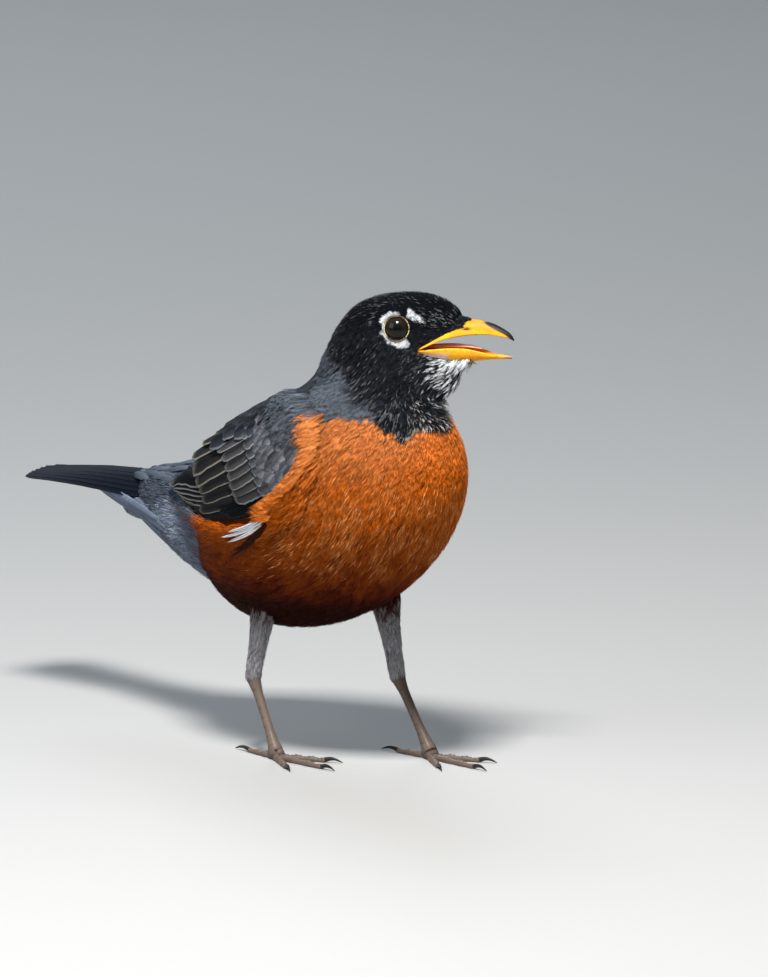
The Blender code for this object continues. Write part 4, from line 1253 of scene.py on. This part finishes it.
OLIVE_EDGE, PALE_EDGE, BLACKISH = (0.18, 0.17, 0.135), (0.18, 0.18, 0.18), (0.0025, 0.003, 0.004)
SHAFT_BLACK, BROWN_BLACK, COVERT_GREY = (0.008, 0.008, 0.009), (0.014, 0.0135, 0.014), (0.06, 0.065, 0.074)
FLIGHT_BLACK, ARM_BLACK = (0.003, 0.0035, 0.005), (0.008, 0.008, 0.010)
GREATER_TIPS = (
    (2.30, 44), (2.40, 51.5), (2.56, 59), (2.68, 65.5), (2.74, 71), (2.77, 76), (2.81, 80.5), (2.86, 84)
)
WING_STACK = (  # name, roots, tips, count, upper and lower width, level, rise, colours, bluntness
    (
        "primaries", ((3.0, 76), (3.0, 86)),
        ((0.80, 55), (0.84, 59), (0.95, 64), (1.10, 69), (1.30, 74)), 5,
        (4.2, 2.3), 0.30, (0, 0, 0.1), (BLACKISH, FLIGHT_BLACK, (0.21, 0.21, 0.20)), 0.72,
    ),
    (
        "outer_primaries", ((3.1, 87), (3.1, 92)),
        ((1.38, 79), (1.44, 84), (1.52, 88)), 3,
        (3.6, 1.5), 0.25, (0, 0, 0.1), (BLACKISH, FLIGHT_BLACK, (0.24, 0.24, 0.23)), 0.72,
    ),
    (
        "secondaries", ((3.4, 40), (3.5, 62), (3.5, 84)),
        ((1.57, 43), (1.75, 56), (1.88, 65.5), (2.02, 73.5), (2.10, 80), (2.0, 86)), 6,
        ((4.6, 5.2, 4.5, 4, 4, 3.5), (4.0, 4.1, 3.3, 2.2, 2.0, 1.7)), 0.66, (0, 0, 0.15),
        (SHAFT_BLACK, BROWN_BLACK, OLIVE_EDGE), 0.84,
    ),
    (
        "primary_coverts", ((3.5, 84), (3.5, 91)),
        ((2.42, 86), (2.48, 89), (2.62, 92)), 3,
        (3.0, 1.6), 0.62, (0, 0.1, 0.2), (BLACKISH, FLIGHT_BLACK, (0.02, 0.021, 0.024)), 0.8,
    ),
    (
        "greater_coverts", ((3.75, 41), (3.75, 84)), GREATER_TIPS, 8,
        (3.8, 2.7), 0.84, (0, 0.2, 0.3), ((0.014, 0.014, 0.015), (0.042, 0.041, 0.043), PALE_EDGE), 0.82,
    ),
    (
        "median_coverts", ((4.0, 40), (4.1, 86)),
        ((2.95, 44), (3.2, 60), (3.38, 72), (3.45, 85)), 8,
        (3.4, 3.0), 0.95, (-0.2, 0.3, 0.4), ((0.022, 0.023, 0.026), COVERT_GREY, (0.22, 0.225, 0.235)), 0.72,
    ),
    (
        "tertials", ((3.3, 30), (3.3, 36)),
        ((1.98, 31), (1.78, 37)), 2,
        (3.4, 3.2), 0.85, (0, 0.1, 0.3), (SHAFT_BLACK, BROWN_BLACK, OLIVE_EDGE), 0.8,
    ),
)
for side, sign in LEFT_AND_RIGHT:
    for number, (name, roots, tips, count, widths, level, rise, colours, blunt) in enumerate(WING_STACK):
        jitter = np.random.default_rng(70 + 10 * number + sign).normal(0, (0.015, 0.4), (count, 2))
        root, tip = (between_rows(line, count) * (1, sign) for line in (roots, tips))
        tilt, curl = (0.2, 0.08) if number < 2 else (0.11, 0.25)
        vanes(
            f"{name}_{side}", root, tip + jitter, *widths, rise, colours, SLATE_SLOT,
            blunt, tilt, 16, number + 10 * sign, level, curl,
        )

# A wing's own arm and the down over it fill the space below its feathers.
for side, sign in LEFT_AND_RIGHT:
    t = np.linspace(0, 1, 40)[:, None]
    place = 4.95 - 3.6 * t
    top, low = (np.interp(place, WING_EDGES[0], edge) for edge in WING_EDGES[1:])
    edge = 0.08 + 0.42 * blend((t - 0.45) / 0.4)
    turn = top + (low - top) * (edge + (0.92 - edge) * np.linspace(0, 1, 22))
    place = place + 0 * turn
    swell = 0.35 * wing_lift(place, turn) * np.sin(np.pi * np.clip(t, 0.05, 0.95)) ** 0.3
    outer = on_coat(place, turn * sign, 0.3 + swell)[0]
    inner = on_coat(place, turn * sign, -1.2 + 0 * turn)[0]
    points, faces = closed_tube(np.concatenate([outer, inner[:, ::-1]], axis=1))
    faces = flipped(faces, sign < 0)
    shape(f"wing_arm_{side}", points, faces, FEATHER, SLATE_SLOT, ARM_BLACK, replaced=(f"wing_{side}",))


def scale_rows(name, places, edges, pitch, length, width, rise, colours, seed, small=0.6):
    """Rows of short rounded feathers between two angles, each row set between those of the row before.

    places are those of the rows' tips, pitch is the way from one feather to the next, and small is the size
    of the feathers by the neck, as a part of their size on the back.
    """
    draw = np.random.default_rng(seed)
    tips = []
    for number, place in enumerate(places):
        low, high = (np.interp(place, edges[0], edge) for edge in edges[1:])
        _, arc = stride_and_arc(np.array([place]), np.array([(low + high) / 2]))
        step = pitch * np.interp(place, (3.2, 4.8), (1, small))
        count = max(int(round((high - low) * arc[0] / step)), 2)
        angles = low + (high - low) * (np.arange(count) + 0.5 * (number % 2) + 0.25) / count
        tips.append(np.stack([np.full(count, place), angles], axis=-1))
    tips = np.concatenate(tips)
    tips = tips + draw.normal(0, (0.03, 0.8), tips.shape)
    stride, _ = stride_and_arc(tips[:, 0], tips[:, 1])
    size = draw.uniform(0.88, 1.12, len(tips)) * np.interp(tips[:, 0], (3.2, 4.8), (1, small))
    root = tips + np.stack([length * size / stride, draw.normal(0, 1.0, len(tips))], axis=-1)
    wide = width * size
    vanes(name, root, tips, wide, wide, rise, colours, SLATE_SLOT, 0.55, 0.0, 8, seed, vary=0.5)


COVERTS = ((3.4, 4.0, 4.6, 5.1), (42, 44, 48, 54), (90, 95, 96, 86))  # place, and the two angles between
SCAPULARS = ((2.2, 3.0, 4.0, 4.8, 5.5), (20, 21, 25, 30, 34), (46, 50, 54, 58, 62))
MANTLE = ((1.7, 3.0, 4.0, 5.0, 5.6), (-21, -23, -26, -31, -35), (21, 23, 26, 31, 35))
SCAPULAR_COLOURS = (0.005, 0.006, 0.008), (0.022, 0.026, 0.033), (0.12, 0.135, 0.16)
LESSER_COLOURS = (0.04, 0.043, 0.05), (0.095, 0.101, 0.112), (0.18, 0.19, 0.21)
PLUME_COLOURS = (0.42, 0.42, 0.46), (0.80, 0.79, 0.80), (0.40, 0.36, 0.38)
SHADOW_COLOURS = (0.022, 0.005, 0.002), (0.03, 0.006, 0.002), (0.05, 0.010, 0.003)


def on_side(edges, sign):
    """The same edges on the left (1) or the right (-1)."""
    return edges if sign > 0 else (edges[0], -np.array(edges[2]), -np.array(edges[1]))


for side, sign in LEFT_AND_RIGHT:
    scale_rows(
        f"lesser_coverts_{side}", np.arange(3.55, 4.6, 0.2), on_side(COVERTS, sign), 3.2, 7.5, 2.6,
        (-1.3, 0.4, 0.55), LESSER_COLOURS, 81 + sign, small=1.0,
    )
    scale_rows(
        f"scapulars_{side}", np.arange(2.25, 4.75, 0.24), on_side(SCAPULARS, sign), 4.0, 13.0, 3.9,
        (-0.6, 0.5, 0.6), SCAPULAR_COLOURS, 84 + sign,
    )
rise = (-1.0, 0.0, 0.25)
scale_rows("mantle", np.arange(1.75, 4.9, 0.2), MANTLE, 4.0, 11.0, 3.4, rise, SCAPULAR_COLOURS, 88)

# The white streaks at the edge of the flank are the ends of a few long underwing feathers, over a painted
# shadow: dark vanes that stand for the shade beneath them.
for side, sign in LEFT_AND_RIGHT:
    for name, roots, tips, widths, rise, colours, slot, blunt, seed in (
        (
            "white_plume", ((3.25, 99.5), (3.25, 100.8), (3.20, 102.0)),
            ((2.62, 100.5), (2.46, 103.0), (2.52, 106.0)),
            (0.6, 0.6), (0.9, 1.5, 1.5), PLUME_COLOURS, PALE_SLOT, 0.3, 91,
        ),
        (
            "flank_shadow", ((3.3, 102.5), (3.3, 103.6)), ((2.52, 111.5), (2.44, 114.5)),
            (0.9, 0.7), (0.9, 1.5, 1.0), SHADOW_COLOURS, SLATE_SLOT, 0.2, 92,
        ),
    ):
        root, tip = (np.array(line) * (1, sign) for line in (roots, tips))
        vanes(f"{name}_{side}", root, tip, *widths, rise, colours, slot, blunt, 0.0, 9, seed, curl=0.2)

# ------------------------------------------------------------------ tail
# Twelve stiff feathers close like a fan under the middle pair, so that the tail is a low roof. Softer coverts
# lie over and under its root.
TAIL = np.array(  # x, half width, height of the ridge, droop of the sides
    [
        (-84, 9, 86.5, 8), (-98, 11, 84.5, 8.8), (-112, 12.3, 83.6, 6.8), (-126, 13.2, 82.4, 4.6),
        (-140, 13.8, 80.6, 2.4), (-150, 13.6, 79.2, 1.2), (-156, 13.6, 78.6, 0.6),
    ],
    float,
)


def roof(x, y):
    """Height of the tail's upper side: its ridge, less the droop with the square of the distance from it."""
    half_width, ridge, droop = (np.interp(-x, -TAIL[:, 0], TAIL[:, k]) for k in (1, 2, 3))
    return ridge - droop * np.clip(np.abs(y) / half_width, 0, 1.1) ** 2


# The tail's blacks carry a blue tint, a painted sheen of the sky's light.
TAIL_BLACK, TAIL_SLATE, TAIL_EDGE = (0.002, 0.003, 0.006), (0.003, 0.0045, 0.009), (0.007, 0.009, 0.015)
TAIL_FEATHERS, TAIL_ROWS = 12, 24
INNER_WIDTH, OUTER_WIDTH = 4.4, 2.6  # of a feather's two vanes
number = np.arange(TAIL_FEATHERS)
pair, sign = number // 2, np.where(number % 2, 1.0, -1.0)
spread_out = np.array((2.2, 4.6, 6.8, 8.8, 10.5, 12.0))[pair]
root = np.stack([np.full(TAIL_FEATHERS, -80.0), sign * (0.8 + 1.0 * pair)], axis=-1)
tip = np.stack([-155.8 + 0.06 * pair**2, sign * spread_out], axis=-1)
sink = 0.12 + 0.26 * pair + 0.1 * (number % 2)  # of each feather below the roof
draw = np.random.default_rng(300)
t = 1 - (1 - np.linspace(0, 1, TAIL_ROWS)) ** 1.4
centre = root[:, None] + (tip - root)[:, None] * t[:, None]
outward = AROUND * sign[:, None, None]
uneven = 1 + 0.02 * draw.normal(size=(TAIL_FEATHERS, TAIL_ROWS, 1))
width = np.where(outward > 0, OUTER_WIDTH, INNER_WIDTH) * outline(t, 0.92)[None, :, None] * uneven
x = centre[..., 0, None] - 0.10 * width * np.abs(AROUND)
y = centre[..., 1, None] + AROUND * width
z = roof(x, y) - sink[:, None, None] + VANE_THICKNESS * LEAF_PROFILE - 0.12 * AROUND**2
low, along_t = outward + 0 * y, t[:, None] + 0 * y
edge = np.maximum(blend((low - 0.7) / 0.2), 0.6 * blend((along_t - 0.97) / 0.02))
colour = mix(mix(TAIL_BLACK, TAIL_SLATE, blend((low + 0.2) / 0.8)), TAIL_EDGE, edge)
colour = colour * draw.uniform(0.88, 1.12, (TAIL_FEATHERS, 1, 1, 1))
corner = unwrap(np.interp(root[:, 0], (-113, -72), (0.1, 1.0)), 4 * root[:, 1])
vane_map, patch = leaf_maps(AROUND * width, along_t, np.abs(tip - root)[:, :1, None], corner, low, draw)
tail = leaf_mesh("tail_feathers", np.stack([x, y, z], axis=-1), colour, vane_map, patch, "tail_feathers")
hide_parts("tail")

# Soft leaves lie from the body's surface to the tail, above and below it. The white ones below are painted
# blue-grey, as painted shade.
TAIL_COVERTS = (  # name, count, angles, spread, way ahead, depth and hang, half width, colours, slot, seed
    (
        "undertail_coverts", 84, (100, 260), 7.0, 0, 2.6, 2.5, 1.9,
        ((0.11, 0.135, 0.18), (0.13, 0.16, 0.22), (0.13, 0.16, 0.22)), PALE_SLOT, 402,
    ),
    (
        "uppertail_coverts", 44, (-46, 46), 8.0, 19, -0.3, 0, 1.5,
        ((0.06, 0.074, 0.097), (0.03, 0.037, 0.05), (0.04, 0.05, 0.065)), SLATE_SLOT, 401,
    ),
)
COVERT_ROWS, COVERT_SAG = 10, 0.8
roots_draw = np.random.default_rng(95)
for name, count, angles, wide, ahead, below, hang, half_width, (dark, base, trim), slot, seed in TAIL_COVERTS:
    angle = np.linspace(*angles, count) + roots_draw.normal(0, 2, count)
    place = roots_draw.uniform(0.22, 0.95, count)
    root, normal, _ = on_coat(place, angle, np.full(count, -0.3))
    tip_x = -127.0 + 22 * (place - 0.22) + roots_draw.normal(0, 2.0, count) + ahead
    tip_y = np.sin(np.radians(angle)) * wide
    tip_z = roof(tip_x, tip_y) - below - hang * np.abs(np.cos(np.radians(angle)))
    tip = np.stack([tip_x, tip_y, tip_z], axis=-1)
    draw = np.random.default_rng(seed)
    t = 1 - (1 - np.linspace(0, 1, COVERT_ROWS)) ** 1.5
    sag = (COVERT_SAG * np.sin(np.pi * t))[:, None]
    centre = root[:, None] + (tip - root)[:, None] * t[:, None] + normal[:, None] * sag
    side = np.cross(unit(tip - root), normal)[:, None, None]
    uneven = 1 + 0.05 * draw.normal(size=(count, COVERT_ROWS))
    x = AROUND * (half_width * outline(t, 0.35) * uneven)[..., None]
    rise = 0.14 * LEAF_PROFILE - 0.35 * AROUND**2 + 0 * x
    points = centre[:, :, None] + side * x[..., None] + normal[:, None, None] * rise[..., None]
    along_t, low = t[:, None] + 0 * x, AROUND + 0 * x
    edge = np.maximum(blend((np.abs(low) - 0.7) / 0.2), blend((along_t - 0.9) / 0.08))
    colour = mix(mix(dark, base, along_t), trim, edge) * draw.uniform(0.85, 1.15, (count, 1, 1, 1))
    vane_map, patch = leaf_maps(x, along_t, 25, np.zeros((count, 2)), low, draw)
    patch = patch + np.array((0.05, 0.02)) + draw.random((count, 1, 1, 2)) * (0.9, 0.04)
    leaf_mesh(name, points, colour, vane_map, patch, slot)

# ------------------------------------------------------------------ legs and feet
# Bare legs in horny skin: a thrush's shin is one smooth sheath with faint seams, its toes have a scute on top
# of every short step and rounded pads below. Muscle and tendon show as the swelling at the ankle.
TARSUS = np.array(  # millimetres down from the ankle, and the radius there
    ((-2.2, 1.2), (-1.2, 2.2), (0, 2.6), (2.5, 2.1), (6, 1.65), (14, 1.5), (20, 1.6), (24, 2.0))
)
TOES = {  # heading from straight ahead, start and end from the ball of the foot, length of the claw
    "inner": (-30, 4.8, 18, 6.0),
    "middle": (-1, 4.8, 24, 6.5),
    "outer": (28, 4.8, 18.5, 6.0),
    "hind": (184, 3.0, 15, 8.0),
}
SHIN_ROWS, SHIN_SEGMENTS, TOE_ROWS, TOE_SEGMENTS, CLAW_ROWS = 110, 36, 70, 28, 40
TOE_ROOT, CLAW_ROOT = 2.2, 0.8  # how far each begins inside the piece before it
SCALE_FINISH = horn_finish("leg_scales", 0.42, 700)
CLAW_FINISH = horn_finish("claw_horn", 0.3, 900)
LEG_BROWN, SEAM_BROWN, CLAW_BLACK = (0.115, 0.085, 0.068), (0.045, 0.032, 0.026), (0.02, 0.017, 0.015)
for side, outwards in LEFT_AND_RIGHT:
    _, ankle, ball = np.array(LEGS[side], float)
    down = unit(ball - ankle)
    reach = np.linalg.norm(ball - ankle)
    stops = np.linspace(TARSUS[0, 0], reach + 1.0, SHIN_ROWS)
    radii = np.interp(stops, *np.vstack([TARSUS, (reach - 0.5, 2.5), (reach + 1.0, 2.5)]).T)
    path = ankle + stops[:, None] * down
    sole = np.vstack([path, ball + (1.2, 0, -1.4), ball + (1.5, 0, -2.5)])
    radii = np.append(radii, (2.5, 2.2))
    turn = np.linspace(0, 2 * np.pi, SHIN_SEGMENTS, endpoint=False)
    facing = np.clip(np.sin(turn), 0, 1)
    seams = np.exp(-(((np.append(stops, (reach + 2, reach + 3)) * 0.30) % 1 - 0.5) / 0.07) ** 2)
    seams = seams[:, None] * (1 - facing)
    grid = radii[:, None] * (1 - 0.05 * seams)
    points, faces = closed_tube(pipe(sole, grid, (0, 1, 0), SHIN_SEGMENTS, 0.0))
    colour = with_ends(mix(LEG_BROWN, SEAM_BROWN, 0.8 * seams), LEG_BROWN, LEG_BROWN)
    shape(f"shin_{side}", points, faces, SCALE_FINISH, "leg_scales", colour, replaced=(f"tarsus_{side}",))
    for toe, (heading, start, end, claw_length) in TOES.items():
        axes = turned(0.0, heading * outwards)
        ahead, across = axes[:, 0], axes[:, 1]
        t = np.linspace(0, 1, TOE_ROWS)
        pads = 1.25 * (1 - 0.25 * t) * (1 + 0.1 * np.cos(6 * np.pi * t))
        begin = start - TOE_ROOT
        scute = (t * (end - begin) / 1.5) % 1
        turn = np.linspace(0, 2 * np.pi, TOE_SEGMENTS, endpoint=False)
        upward = np.clip(np.sin(turn), 0, 1)
        seam = np.exp(-((scute - 0.5) / 0.12) ** 2)[:, None] * upward
        grid = pads[:, None] * (1 - 0.12 * seam + 0.06 * upward * np.sin(2 * np.pi * scute)[:, None])
        grid[-3:] *= np.array((0.92, 0.75, 0.45))[:, None]
        path = np.outer(begin + (end - begin) * t, ahead)
        path = ball * (1, 1, 0) + path + np.outer(0.68 * pads, (0, 0, 1))
        points, faces = closed_tube(pipe(path, grid, across, TOE_SEGMENTS, 0.0))
        colour = with_ends(mix(LEG_BROWN, SEAM_BROWN, 0.9 * seam), LEG_BROWN, LEG_BROWN)
        node = f"toe_{side}_{toe}"
        shape(f"{toe}_toe_{side}", points, faces, SCALE_FINISH, "leg_scales", colour, replaced=(node,))
        t = np.linspace(0, 1, CLAW_ROWS)
        bend = 0.9 * np.sin(np.pi * t) - (path[-1, 2] - 0.25) * t
        claw = path[-1] - ahead * CLAW_ROOT + np.outer((claw_length + CLAW_ROOT) * t, ahead)
        claw = claw + np.outer(bend, (0, 0, 1))
        radii = 0.1 + 0.85 * (1 - t) ** 0.8
        grid = radii[:, None] * (1 - 0.25 * np.abs(np.cos(turn[::2])))
        points, faces = closed_tube(pipe(claw, grid, across, TOE_SEGMENTS // 2, 0.0))
        node = f"claw_{side}_{toe}"
        shape(f"{toe}_claw_{side}", points, faces, CLAW_FINISH, "claw_horn", CLAW_BLACK, replaced=(node,))

boxes = {"cad": cad_box, "visual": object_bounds()}
{name: [list(map(float, corner)) for corner in box] for name, box in boxes.items()}
